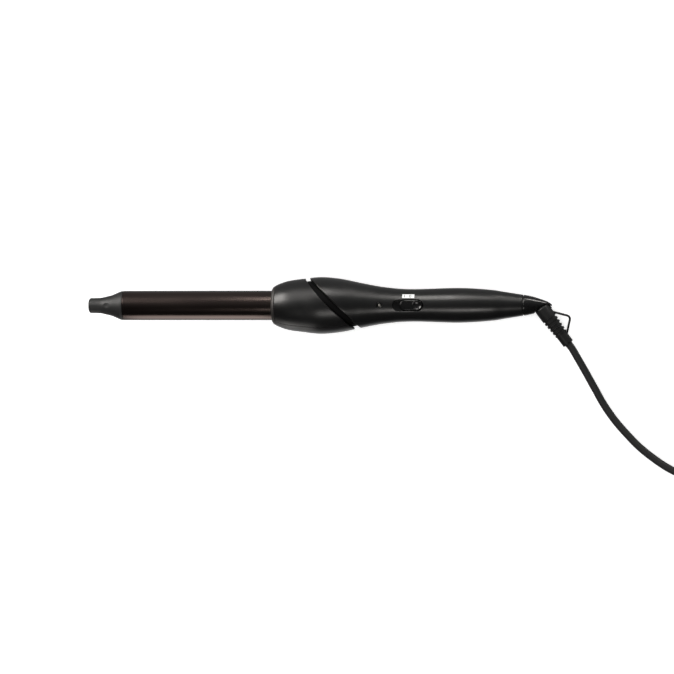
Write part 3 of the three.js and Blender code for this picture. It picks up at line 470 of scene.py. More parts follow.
# ------------------------------------------------------------------ outlines
def smooth_line(points, per=8):
    """A smooth line through points, as a Catmull-Rom spline."""
    ends = [points[0], *points, points[-1]]
    line = []
    for a, b, c, d in zip(ends, ends[1:], ends[2:], ends[3:]):
        for i in range(per):
            t = i / per
            line.append(
                tuple(
                    0.5 * (2 * q + (r - p) * t + (2 * p - 5 * q + 4 * r - s) * t * t + (3 * q - p - 3 * r + s) * t**3)
                    for p, q, r, s in zip(a, b, c, d)
                )
            )
    return [*line, tuple(points[-1])]


def softened(points, steps=4):
    """An outline with an arc at each corner whose third value says how far the arc reaches."""
    made = []
    for i, point in enumerate(points):
        reach = point[2] if len(point) > 2 else 0
        corner = Vector(point[:2])
        if not reach or i in (0, len(points) - 1):
            made.append(tuple(corner))
            continue
        before, after = Vector(points[i - 1][:2]) - corner, Vector(points[i + 1][:2]) - corner
        reach = min(reach, before.length * 0.49, after.length * 0.49)
        start, end = corner + before.normalized() * reach, corner + after.normalized() * reach
        for k in range(steps + 1):
            t = k / steps
            made.append(tuple(start * (1 - t) ** 2 + corner * 2 * t * (1 - t) + end * t * t))
    return made


BODY_LINE = smooth_line(
    [
        (BODY_FRONT, 17.2), (170.416, 20.6), (184.113, 22.572), (BULGE, 24.0), (216.504, 22.404), (232.688, 19.056),
        (253.09, 15.399), (WAIST, 13.7), (BELLY, 14.65), (341.652, 13.201), (355.377, 11.2), (BODY_REAR, 8.9),
    ],
    24,
)


def body_radius(x):
    """The body's outer radius at a station, in millimetres."""
    for (x0, r0), (x1, r1) in zip(BODY_LINE, BODY_LINE[1:]):
        if x <= x1:
            return r0 + (r1 - r0) * max(0, x - x0) / (x1 - x0)
    return BODY_LINE[-1][1]


def skin_height(x, y):
    """The height of the body's skin above the iron's axis."""
    return math.sqrt(max(0.0, body_radius(x) ** 2 - y * y))


def stadium(middle, length_mm, width_mm, steps=20):
    """The outline of a slot with round ends, long in X."""
    half = (length_mm - width_mm) / 2
    ends = [(half, -90), (-half, 90)]
    return [
        (
            middle + shift + width_mm / 2 * math.cos(math.radians(start + 180 * i / steps)),
            width_mm / 2 * math.sin(math.radians(start + 180 * i / steps)),
        )
        for shift, start in ends
        for i in range(steps + 1)
    ]


# ------------------------------------------------------------------ the slanted groove between the shells
GROOVE_LEAN = math.tan(math.radians(7.5))
FRONT_EDGE = smooth_line([(-15.2, 26), (-10.9, 17.3), (1.5, 2.2), (16.2, -11.4), (21.4, -16.3), (32.5, -22.5)], 10)
BACK_EDGE = smooth_line([(-12.6, 26), (-0.8, 13.1), (14, -1.9), (24.3, -11), (27.3, -15.1), (37, -21.7)], 10)


def groove_station(edge, turn):
    """Where the groove's edge crosses the skin, at an angle from straight up toward +Y."""

    def ahead(x):
        radius = body_radius(x)
        y, z = radius * math.sin(turn), radius * math.cos(turn)
        y = min(max(y, edge[-1][1]), edge[0][1])
        for (a, ya), (b, yb) in zip(edge, edge[1:]):
            if y >= yb:
                return x - (BULGE + a + (b - a) * (ya - y) / (ya - yb) + z * GROOVE_LEAN)
        return x - BULGE - edge[-1][0] - z * GROOVE_LEAN

    low, high = BODY_FRONT + 2, WAIST
    for _ in range(40):
        middle = (low + high) / 2
        low, high = (middle, high) if ahead(middle) < 0 else (low, middle)
    return low


def slant(piece, low, high, at_low=None, at_high=None):
    """Slides a turned skin along the axis so that one end follows a line round the body, and keeps it on the skin."""
    stations = {}
    for vertex in piece.data.vertices:
        x, y, z = vertex.co / MM
        if x < low - 1e-4:
            continue
        turn = math.atan2(y, z)
        key = round(turn, 5)
        if key not in stations:
            stations[key] = (at_low(turn) if at_low else low, at_high(turn) if at_high else high)
        start, end = stations[key]
        share = (x - low) / (high - low)
        x = start + share * (end - start)
        radius = body_radius(x)
        vertex.co = Vector((x, radius * math.sin(turn), radius * math.cos(turn))) * MM
    piece.data.update()
    return piece


def walled(piece, wall, edge):
    """Gives a skin its wall, inward, and softens its edges."""
    modify(piece, "SOLIDIFY", thickness=wall, offset=-1, use_even_offset=True, use_rim=True)
    return soften(piece, edge / MM, 50, 3)


# ------------------------------------------------------------------ the cord's route on the floor
# From the relief's end: x and y from there and z from the floor, in millimetres.
CORD_ROUTE = [
    (3, -4, 7.6), (7.4, -11.6, 6.9), (13.9, -23.2, 5.5), (20.8, -35.8, 4.2), (31.5, -54.4, 3.4),
    (47.5, -74.4, 3.2), (68.5, -93.8, 3.2), (95.5, -109.6, 3.2), (124, -117, 3.2),
]
TAIL_ROUTE = [
    (165.9, -117.2, 15.4), (186.3, -109.8, 12), (199.3, -91.5, 8), (203.5, -70, 5), (205, -48, 3.6),
    (204, -25, 3.2), (200, -5, 3.2), (192.5, 12, 3.4), (183.5, 25, 4.6), (172.5, 32.5, 6.6), (162.0, 32.9, 6.85),
]
COIL_CENTRE = (150.0, -73.5)
# Each turn's place across the coil, from the inside out, and its layer, in the order that they are wound.
TURNS = [(2, 0), (1, 0), (0, 0), (0, 1), (0, 2), (1, 2), (1, 1), (2, 1), (2, 2)]


def relief_point(x):
    """A point on the relief's axis, some millimetres from the pivot, in the frame."""
    return RELIEF @ Vector((x * MM, 0, 0))


def coil_points(radius, step, per_turn=18):
    """The coil's turns. Each steps to the next one's place in its last part, and all draw together in the tie."""
    points = []
    for k, (across, layer) in enumerate(TURNS):
        next_across, next_layer = TURNS[min(k + 1, len(TURNS) - 1)]
        for i in range(per_turn):
            way = i / per_turn
            t = min(1, max(0, (way - 0.78) / 0.22))
            t = t * t * (3 - 2 * t)
            out = (across + (next_across - across) * t - 1) * step
            rise = (layer + (next_layer - layer) * t - 1) * step
            angle = -90 + 360 * way
            off_tie = (angle - 180) / 16
            squeeze = 1 - 0.115 * math.exp(-off_tie * off_tie)
            turn = math.radians(angle)
            reach = radius + out * squeeze
            points.append(
                (
                    COIL_CENTRE[0] + reach * math.cos(turn),
                    COIL_CENTRE[1] + reach * math.sin(turn),
                    9.7 + rise * squeeze,
                )
            )
    return [*points, (COIL_CENTRE[0], COIL_CENTRE[1] - radius - step, 9.7 + step)]


# ------------------------------------------------------------------ operators
class WAND_OT_stage(bpy.types.Operator):
    """Adds the camera, the floor, the room and the lights"""

    bl_idname = "wand.stage"
    bl_label = "Stage"

    def execute(self, context):
        studio = context.scene.wand_studio
        context.scene.view_settings.view_transform = "Standard"
        self.aim_camera(context, studio)
        self.lay_floor(studio)
        self.raise_backdrop(studio)
        self.light_room(context, studio)
        self.hang_softboxes(studio)
        return {"FINISHED"}

    def aim_camera(self, context, studio):
        aim = Vector((6.1, -21.1, 20.0)) * MM
        lean = studio.camera_lean
        away = Vector((math.sin(lean), 0, math.cos(lean)))
        clear()
        bpy.ops.object.camera_add()
        camera = context.object
        camera.name = "camera"
        right, up = Vector((math.cos(lean), 0, -math.sin(lean))), Vector((0, 1, 0))
        camera.matrix_world = facing(right, up, away, aim + away * studio.camera_distance)
        sensor = 36
        camera.data.sensor_width = sensor
        camera.data.lens = sensor * studio.camera_distance / studio.frame_width
        camera.data.clip_end = 50
        context.scene.camera = camera

    def lay_floor(self, studio):
        clear()
        bpy.ops.mesh.primitive_grid_add(x_subdivisions=8, y_subdivisions=8, size=20)
        floor = bpy.context.object
        floor.name = "floor"
        # Opal acrylic sheet, lit from below: even and white, so that nothing but the object draws the eye.
        floor.data.materials.append(
            finish(
                "floor_lit_acrylic", studio.floor, 0.9, grain=4, depth=0.0, shift=0.0, spread=0.0,
                Emission_Color=(1, 1, 1, 1), Emission_Strength=0.4,
            )
        )
        floor.visible_glossy = False

    def raise_backdrop(self, studio):
        """A white tent round everything. It lights matt surfaces evenly and doesn't show in gloss."""
        clear()
        bpy.ops.mesh.primitive_uv_sphere_add(segments=48, ring_count=24, radius=11)
        tent = bpy.context.object
        tent.name = "backdrop"
        cloth = bpy.data.materials.new("backdrop_lit_cloth")
        cloth.use_nodes = True
        shader = cloth.node_tree.nodes["Principled BSDF"]
        shader.inputs["Base Color"].default_value = (0, 0, 0, 1)
        shader.inputs["Specular IOR Level"].default_value = 0
        shader.inputs["Emission Color"].default_value = (1, 1, 1, 1)
        shader.inputs["Emission Strength"].default_value = studio.backdrop
        tent.data.materials.append(cloth)
        tent.visible_glossy = False

    def light_room(self, context, studio):
        """The room that shows in gloss: dark in front, paler behind, and a white floor low down all round."""
        world = bpy.data.worlds.new("studio_room")
        context.scene.world = world
        world.use_nodes = True
        tree = world.node_tree
        split = node(tree, "ShaderNodeSeparateXYZ", {"Vector": node(tree, "ShaderNodeTexCoord").outputs["Generated"]})
        y, z = split.outputs["Y"], split.outputs["Z"]

        def ramp(value, start, end, low, high):
            limits = {"Value": value, "From Min": start, "From Max": end, "To Min": low, "To Max": high}
            return node(tree, "ShaderNodeMapRange", limits, interpolation_type="SMOOTHSTEP").outputs["Result"]

        def times(a, b):
            return node(tree, "ShaderNodeMath", {0: a, 1: b}, operation="MULTIPLY").outputs["Value"]

        def plus(a, b):
            return node(tree, "ShaderNodeMath", {0: a, 1: b}, operation="ADD").outputs["Value"]

        behind = ramp(y, -0.5, 1.0, 0.04, 0.32)
        level = plus(behind, times(ramp(z, -0.5, -0.85, 0.0, studio.card), ramp(y, 0.5, 0.1, 0.0, 1.0)))
        tree.links.new(level, tree.nodes["Background"].inputs["Color"])

    def hang_softboxes(self, studio):
        """Lights by name, place, what they point at, size, brightness and the angle that they spread to."""
        for name, place, aim, size, bright, spread in (
            ("back_strip", (0.2, 1.0, 0.7), (0.2, 0, 0), (0.5, 0.46), studio.back_strip, 180),
            ("shell_strip", (-0.07, 1.0, 0.74), (-0.07, 0, 0), (0.1, 0.56), studio.shell_strip, 180),
            ("front_strip", (0.14, -0.66, 1.05), (0.05, 0, 0), (0.46, 0.3), studio.front_strip, 180),
            ("tip_softbox", (-0.92, 0.68, 0.76), (-0.03, 0, 0), (0.7, 0.8), studio.tip_box, 180),
            ("barrel_card", (-0.165, -0.24, -0.035), (-0.135, 0, 0.03), (0.15, 0.22), studio.barrel_card, 70),
            ("cap_softbox", (0.68, 1.05, 0.24), (0.4, 0, 0), (0.56, 0.16), studio.cap_box, 180),
        ):
            clear()
            bpy.ops.object.light_add(type="AREA", location=place)
            lamp = bpy.context.object
            lamp.name = name
            lamp.data.shape = "RECTANGLE"
            lamp.data.size, lamp.data.size_y = size
            lamp.data.spread = math.radians(spread)
            lamp.data.color = (1.0, 0.965, 0.93)
            # An even panel of brightness L sends out pi times L from each square metre. A narrow spread is brighter
            # than that in its middle.
            lamp.data.energy = bright * math.pi * size[0] * size[1]
            away = (Vector(place) - Vector(aim)).normalized()
            lamp.visible_camera = lamp.visible_diffuse = False
            right = Vector((1, 0, 0)) - away * away.x
            right.normalize()
            lamp.matrix_world = facing(right, away.cross(right), away, place)


class WAND_OT_cord(bpy.types.Operator):
    """Lays the cord from the relief through its coil to the plug"""

    bl_idname = "wand.cord"
    bl_label = "Cord"

    def execute(self, context):
        sizes = context.scene.wand_cord
        exit_point = relief_point(CORD_EXIT)
        coil = coil_points(sizes.coil_radius / MM, sizes.coil_step / MM)
        route = [(0, 0, exit_point.z / MM), *CORD_ROUTE, *coil, *TAIL_ROUTE]
        clear()
        curve = bpy.data.curves.new("mains_cord", "CURVE")
        curve.dimensions = "3D"
        curve.bevel_depth = sizes.diameter / 2
        curve.bevel_resolution = 4
        curve.resolution_u = 6
        spline = curve.splines.new("BEZIER")
        spline.bezier_points.add(len(route) - 1)
        for knot, (x, y, z) in zip(spline.bezier_points, route):
            knot.co = (exit_point.x + x * MM, exit_point.y + y * MM, z * MM)
            knot.handle_left_type = knot.handle_right_type = "AUTO"
        curve.materials.append(FINISHES["cord_jacket"])
        cord = bpy.data.objects.new("mains_cord", curve)
        context.collection.objects.link(cord)
        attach(cord, "cord_end")
        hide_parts("cord_tube", "cord_coil", "cord_tail")
        return {"FINISHED"}


class WAND_OT_tip(bpy.types.Operator):
    """Turns the cool tip, with its thumb dimple"""

    bl_idname = "wand.tip"
    bl_label = "Cool tip"

    def execute(self, context):
        sizes = context.scene.wand_sizes
        flank = smooth_line(
            [
                (1.8, 6.4), (5, 6.42), (8, 6.5), (11, 6.75), (13.7, 7.4), (19.6, 8.8), (24.4, 10.8), (27.2, 11.95),
                (TIP_END - 0.3, 12.35),
            ],
            7,
        )
        stub_end = TIP_END + 8.5
        outline = [
            *softened([(0.25, 0), (0.25, 4.2, 0.3), (0, 4.5, 0.3), (0, 5.1, 0.7), (1.3, 6.4, 1.1), (1.8, 6.4)], 5),
            *flank[1:],
            *softened([(TIP_END - 0.3, 12.3), (TIP_END, 12.2, 0.2), (TIP_END, 11.0), (stub_end, 11.0), (stub_end, 0)]),
        ]
        tip = spun(outline, sizes.sides)
        for vertex in tip.data.vertices:
            x, y, z = vertex.co / MM
            if z > 0:
                off = ((x - 15.9) / 2.6) ** 2 + (y / 2.1) ** 2
                if off < 1:
                    vertex.co.z -= 0.4 * (1 - off) ** 0.8 * MM
        complete(tip, "tip_moulding", "tip_plastic", "iron", ["cool_tip"], smooth=50)
        return {"FINISHED"}


class WAND_OT_barrel(bpy.types.Operator):
    """Turns the heated barrel and the ring at its root"""

    bl_idname = "wand.barrel"
    bl_label = "Barrel and collar"

    def execute(self, context):
        sizes = context.scene.wand_sizes
        radius, end = sizes.barrel_radius / MM, BODY_FRONT + 20
        outline = softened(
            [
                (60, radius - 1), (TIP_END + 0.3, radius - 1), (TIP_END + 0.3, radius, 0.35), (end, radius),
                (end, radius - 1), (60, radius - 1),
            ]
        )
        barrel = spun(outline, sizes.sides)
        complete(barrel, "barrel_shell", "barrel_coating", "iron", ["barrel_tube"])
        ring = softened(
            [
                (COLLAR + 1, radius + 0.4), (COLLAR, radius + 0.4, 0.2), (COLLAR, radius + 1.7, 0.4),
                (COLLAR + 0.9, radius + 3.1, 0.4), (COLLAR + 2.5, radius + 4.1, 0.25),
                (COLLAR + 2.8, radius + 4.1, 0.1), (COLLAR + 2.8, radius + 0.4), (COLLAR + 1, radius + 0.4),
            ]
        )
        complete(spun(ring, sizes.sides), "collar_casting", "collar_metal", "iron", ["collar_ring"])
        return {"FINISHED"}


class WAND_OT_front_shells(bpy.types.Operator):
    """Makes the two front shells, which meet on a slanted parting line and end at the groove"""

    bl_idname = "wand.front_shells"
    bl_label = "Front shells"

    def execute(self, context):
        sizes = context.scene.wand_sizes
        low, high = BODY_FRONT + 0.8, BULGE + 20
        steps = [low + (high - low) * i / 40 for i in range(41)]
        radius = sizes.barrel_radius / MM
        lip = softened([(BODY_FRONT, radius + 0.4), (BODY_FRONT, 17.15, 0.7), (low, body_radius(low))], 5)[:-1]
        outline = [*lip, *((x, body_radius(x)) for x in steps)]
        # The parting plane is turned 52 degrees from upright. A gap of even width is left at it.
        gap = math.degrees(sizes.seam / MM / 2 / 22)
        for name, start in (("upper", -52), ("lower", 128)):
            shell = spun(outline, sizes.sides // 2, start + gap, 180 - 2 * gap)
            slant(shell, low, high, at_high=lambda turn: groove_station(FRONT_EDGE, turn))
            walled(shell, sizes.shell_wall * 0.8, sizes.edge * 1.7)
            complete(shell, f"front_skin_{name}", "shell_plastic", "iron", [f"front_shell_{name}"])
        return {"FINISHED"}


class WAND_OT_sleeve(bpy.types.Operator):
    """Turns the inner sleeve that shows at the bottom of the groove"""

    bl_idname = "wand.sleeve"
    bl_label = "Inner sleeve"

    def execute(self, context):
        start, end = BODY_FRONT + 5, BULGE + 37
        stations = [start + (end - start) * i / 36 for i in range(37)]
        outer = [(x, body_radius(x) - 2.6) for x in stations]
        inner = [(x, body_radius(x) - 4.2) for x in reversed(stations)]
        sleeve = spun([*outer, *inner, outer[0]], context.scene.wand_sizes.sides)
        complete(sleeve, "groove_sleeve", "inner_plastic", "iron", ["core_sleeve"])
        return {"FINISHED"}


class WAND_OT_handle(bpy.types.Operator):
    """Makes the two handle shells, with the switch's recess, the lamp's hole and the screws' wells"""

    bl_idname = "wand.handle"
    bl_label = "Handle shells"

    def execute(self, context):
        sizes = context.scene.wand_sizes
        low, high = BULGE - 16, BODY_REAR
        steps = [low + (high - low) * i / 130 for i in range(131)]
        outline = [(x, body_radius(x)) for x in steps]
        gap = math.degrees(sizes.seam / MM / 2 / 16)
        for name, start in (("upper", -90), ("lower", 90)):
            shell = spun(outline, sizes.sides // 2, start + gap, 180 - 2 * gap)
            slant(shell, low, high, at_low=lambda turn: groove_station(BACK_EDGE, turn))
            walled(shell, sizes.shell_wall, sizes.edge)
            carve(shell, *(self.upper_holes(sizes) if name == "upper" else self.screw_wells(sizes)))
            if name == "lower":
                seats = [post(sizes.screw_head / MM + 1.2, *SEAT, x, y) for x, y in SCREW_PLACES]
                carve(shell, *seats, operation="UNION")
            complete(shell, f"handle_skin_{name}", "handle_plastic", "iron", [f"handle_shell_{name}"])
        self.recess_tray(sizes)
        return {"FINISHED"}

    def upper_holes(self, sizes):
        recess = raised(stadium(SWITCH, sizes.recess_length / MM + 0.2, sizes.recess_width / MM + 0.2), 5, 25)
        return [recess, post(sizes.bezel_radius / MM + 0.3, 5, 25, LAMP, 0)]

    def screw_wells(self, sizes):
        radius = sizes.screw_head / MM + 0.3
        return [post(radius, -30, WELL_END, x, y) for x, y in SCREW_PLACES]

    def recess_tray(self, sizes):
        """The recess's own wall and floor, with a soft rim that lies on the skin."""
        width, long = sizes.recess_width / MM, sizes.recess_length / MM
        floor = body_radius(WAIST) - sizes.recess_depth / MM
        tray = raised(stadium(SWITCH, long + 1.0, width + 1.0), floor - 1.8, floor + 4)
        carve(tray, raised(stadium(SWITCH, long, width), floor, 30))
        take(tray)
        for vertex in tray.data.vertices:
            x, y, z = vertex.co / MM
            if z > floor + 3:
                inner = abs(y) < width / 2 + 0.1 and abs(x - SWITCH) < long / 2 + 0.1
                vertex.co.z = (skin_height(x, y) - 0.1 + (0.0 if inner else RIM_RISE)) * MM
        knob_front = SWITCH + long / 2 - KNOB_ROOM - sizes.knob_length / MM
        middle = knob_front + sizes.knob_length / MM / 2
        carve(tray, block((middle - 9.4, -2.6, 0), (middle + 3.9, 2.6, floor + 0.5)))
        soften(tray, 0.12, 50)
        complete(tray, "switch_recess", "cap_plastic", "iron", [])


class WAND_OT_screws(bpy.types.Operator):
    """Makes the four pan-head screws in the underside"""

    bl_idname = "wand.screws"
    bl_label = "Handle screws"

    def execute(self, context):
        head = context.scene.wand_sizes.screw_head / MM
        outline = softened(
            [
                (-8.7, 0), (-8.7, head - 0.7, 0.5), (-8.0, head, 0.4), (-7.0, head, 0.1), (-7.0, 1.25),
                (5.0, 1.25, 0.3), (6.0, 0),
            ]
        )
        first = spun(outline, 40)
        take(first)
        first.data.transform(Matrix.Rotation(math.radians(-90), 4, "Y"))
        arms = [block((-1.5, -0.3, -9), (1.5, 0.3, -7.9)), block((-0.3, -1.5, -9), (0.3, 1.5, -7.9))]
        carve(first, *arms)
        for i, (x, y) in enumerate(SCREW_PLACES):
            screw = copy_of(first)
            screw.data.transform(Matrix.Translation((x * MM, y * MM, 0)))
            complete(screw, f"pan_head_screw_{i + 1}", "steel", "iron", [f"handle_screw_{i + 1}"])
        bpy.data.objects.remove(first)
        return {"FINISHED"}


class WAND_OT_switch(bpy.types.Operator):
    """Makes the slide switch's knob, with its round thumb dish"""

    bl_idname = "wand.switch"
    bl_label = "Switch knob"

    def execute(self, context):
        sizes = context.scene.wand_sizes
        long, width = sizes.knob_length / MM, sizes.knob_width / MM
        floor = body_radius(WAIST) - sizes.recess_depth / MM
        top = body_radius(WAIST) + 0.3
        front = SWITCH + sizes.recess_length / MM / 2 - KNOB_ROOM - long
        knob = raised(stadium(front + long / 2, long, width), floor + 0.3, top)
        soften(knob, 0.7, 50, 4)
        dish_at, dish, deep = front + long - width / 2, width / 2 - 0.55, 1.1
        ball = (dish**2 + deep**2) / (2 * deep)
        clear()
        bpy.ops.mesh.primitive_uv_sphere_add(
            segments=96, ring_count=64, radius=ball * MM, location=(dish_at * MM, 0, (top + ball - deep) * MM)
        )
        bpy.ops.object.transform_apply()
        carve(knob, bpy.context.object)
        # A thin raised rim round the dish.
        clear()
        bpy.ops.mesh.primitive_torus_add(
            major_segments=72, minor_segments=12, major_radius=dish * MM, minor_radius=0.38 * MM,
            location=(dish_at * MM, 0, (top - 0.02) * MM),
        )
        bpy.ops.object.transform_apply()
        carve(knob, bpy.context.object, operation="UNION")
        middle = front + long / 2
        carve(knob, block((middle - 3.5, -2.2, floor - 1.8), (middle + 3.5, 2.2, floor + 0.8)), operation="UNION")
        complete(knob, "knob_slider", "knob_plastic", "power_switch", ["switch_knob"])
        return {"FINISHED"}


def laid_on_skin(piece, lift):
    """Lays a flat piece, drawn at height nought, on the body's skin."""
    for vertex in piece.data.vertices:
        x, y, z = vertex.co / MM
        vertex.co.z = (skin_height(x, y) + lift + z) * MM
    return piece


class WAND_OT_legend(bpy.types.Operator):
    """Lays the white legend beside the switch, with its on and off marks"""

    bl_idname = "wand.legend"
    bl_label = "Legend"

    def execute(self, context):
        sizes = context.scene.wand_sizes
        long, width, off = sizes.legend_length / MM, sizes.legend_width / MM, 7.65
        clear()
        bpy.ops.mesh.primitive_grid_add(
            x_subdivisions=24, y_subdivisions=12, size=MM, location=((SWITCH + 0.3) * MM, off * MM, 0)
        )
        plate = bpy.context.object
        plate.scale = (long, width, 1)
        bpy.ops.object.transform_apply()
        laid_on_skin(plate, 0.03)
        modify(plate, "SOLIDIFY", thickness=0.35 * MM, offset=-1)
        soften(plate, 0.04, 50)
        complete(plate, "legend_film", "legend_plate", "iron", ["switch_legend"])
        self.mark_off(SWITCH + 1.9, off)
        self.mark_on(SWITCH - 2.9, off)
        return {"FINISHED"}

    def mark_off(self, x, y):
        clear()
        bpy.ops.mesh.primitive_circle_add(
            vertices=40, radius=1.05 * MM, fill_type="NGON", location=(x * MM, y * MM, 0)
        )
        mark = bpy.context.object
        bpy.ops.object.transform_apply()
        bpy.ops.object.mode_set(mode="EDIT")
        bpy.ops.mesh.select_all(action="SELECT")
        bpy.ops.mesh.inset(thickness=0.4 * MM)
        bpy.ops.mesh.delete(type="FACE")
        bpy.ops.object.mode_set(mode="OBJECT")
        laid_on_skin(mark, 0.05)
        modify(mark, "SOLIDIFY", thickness=0.08 * MM, offset=0)
        complete(mark, "mark_off", "legend_mark", "iron", [])

    def mark_on(self, x, y):
        clear()
        bpy.ops.mesh.primitive_grid_add(x_subdivisions=3, y_subdivisions=8, size=MM, location=(x * MM, y * MM, 0))
        mark = bpy.context.object
        mark.scale = (0.5, 2.0, 1)
        bpy.ops.object.transform_apply()
        laid_on_skin(mark, 0.05)
        modify(mark, "SOLIDIFY", thickness=0.08 * MM, offset=0)
        complete(mark, "mark_on", "legend_mark", "iron", [])


class WAND_OT_lamp(bpy.types.Operator):
    """Makes the lamp's black bezel and its small lens"""

    bl_idname = "wand.lamp"
    bl_label = "Lamp"

    def execute(self, context):
        ring = context.scene.wand_sizes.bezel_radius / MM
        top = body_radius(LAMP) - 0.4
        upright = Matrix.Rotation(math.radians(-90), 4, "Y")
        place = IRON @ Matrix.Translation((LAMP * MM, 0, 0)) @ upright
        bezel = softened(
            [
                (top - 1.6, 1.15), (top - 1.6, ring), (top + 0.2, ring, 0.3), (top + 0.1, 1.6, 0.3),
                (top - 0.5, 1.15, 0.1), (top - 1.6, 1.15),
            ]
        )
        complete(spun(bezel, 64), "lamp_ring", "cap_plastic", "iron", ["led_bezel"], place)
        lens = softened([(4.3, 0), (4.3, 1.0, 0.2), (top - 0.1, 1.0, 0.45), (top + 0.05, 0)], 6)
        complete(spun(lens, 48), "lamp_lens", "lens_plastic", "iron", ["led_lens"], place)
        return {"FINISHED"}


class WAND_OT_cap(bpy.types.Operator):
    """Makes the swivelling cap's two halves, with the mouth that the relief tilts in"""

    bl_idname = "wand.cap"
    bl_label = "Swivel cap"

    def execute(self, context):
        sizes = context.scene.wand_sizes
        hood = smooth_line(
            [(0.5, 8.8), (3.5, 8.25), (7.3, 7.4), (13.2, 5.6), (18.4, 3.75), (21.6, 2.1), (23.2, 0.8), (23.6, 0)], 7
        )
        neck, bore = CAP_FRONT - 28.2, 2.4
        outline = [
            (neck, 0), (neck, 4.3), (CAP_FRONT - 14.7, 4.3), (CAP_FRONT - 14.7, 3.6), (CAP_FRONT - 13.1, 3.6),
            (CAP_FRONT - 13.1, 4.3), (CAP_FRONT, 4.3), (CAP_FRONT, 8.7),
            *((CAP_FRONT + x, r) for x, r in hood),
        ]
        solid = carve(
            spun(outline, sizes.sides), self.bore(neck, bore), self.seat(), self.mouth(sizes), self.tongue_slot()
        )
        for name, other in (("upper", (-20, 0.12)), ("lower", (-0.12, 20))):
            half = carve(copy_of(solid), block((neck - 5, -20, other[0]), (CAP_FRONT + 30, 20, other[1])))
            soften(half, 0.22, 45)
            complete(half, f"cap_{name}", "cap_plastic", "swivel_cap", [f"swivel_cap_{name}"])
        bpy.data.objects.remove(solid)
        washer = softened([(8.2, 0.3), (8.2, 0.6, 0.1), (4.5, 0.6), (4.5, 0), (8.2, 0, 0.1), (8.2, 0.3)])
        washer = spun([(BODY_REAR + 0.05 + x, r) for r, x in washer], sizes.sides)
        complete(washer, "cap_washer", "relief_rubber", "swivel_cap", [])
        return {"FINISHED"}

    def bore(self, neck, radius):
        return spun([(neck - 1, 0), (neck - 1, radius), (PIVOT, radius), (PIVOT, 0)], 40)

    def seat(self):
        clear()
        bpy.ops.mesh.primitive_uv_sphere_add(
            segments=64, ring_count=32, radius=SEAT_RADIUS * MM, location=(PIVOT * MM, 0, 0)
        )
        bpy.ops.object.transform_apply()
        return bpy.context.object

    def mouth(self, sizes):
        """The room that the relief's head sweeps, as one rounded body."""
        grown = sizes.relief_radius / MM + 0.4
        outline = [(2.3, 0), (2.3, grown - 1.5), (2.8, grown - 0.5), (3.5, grown), (18.5, grown), (18.5, 0)]
        return self.swept([spun(outline, 72) for _ in TILTS])

    def tongue_slot(self):
        """The thin slot between the cap's halves that the ball's tongue moves in."""
        return self.swept([block((-0.2, -6.6, -0.55), (8.4, 7.6, 0.55)) for _ in TILTS])

    def swept(self, rooms):
        """One body round the same piece at each tilt."""
        for tilt, room in zip(TILTS, rooms):
            turn = Matrix.Rotation(math.radians(-RELIEF_ANGLE - tilt), 4, "Z")
            room.data.transform(Matrix.Translation((PIVOT * MM, 0, 0)) @ turn)
        take(merged(rooms))
        bpy.ops.object.mode_set(mode="EDIT")
        bpy.ops.mesh.select_all(action="SELECT")
        bpy.ops.mesh.convex_hull(use_existing_faces=False)
        bpy.ops.object.mode_set(mode="OBJECT")
        return bpy.context.object


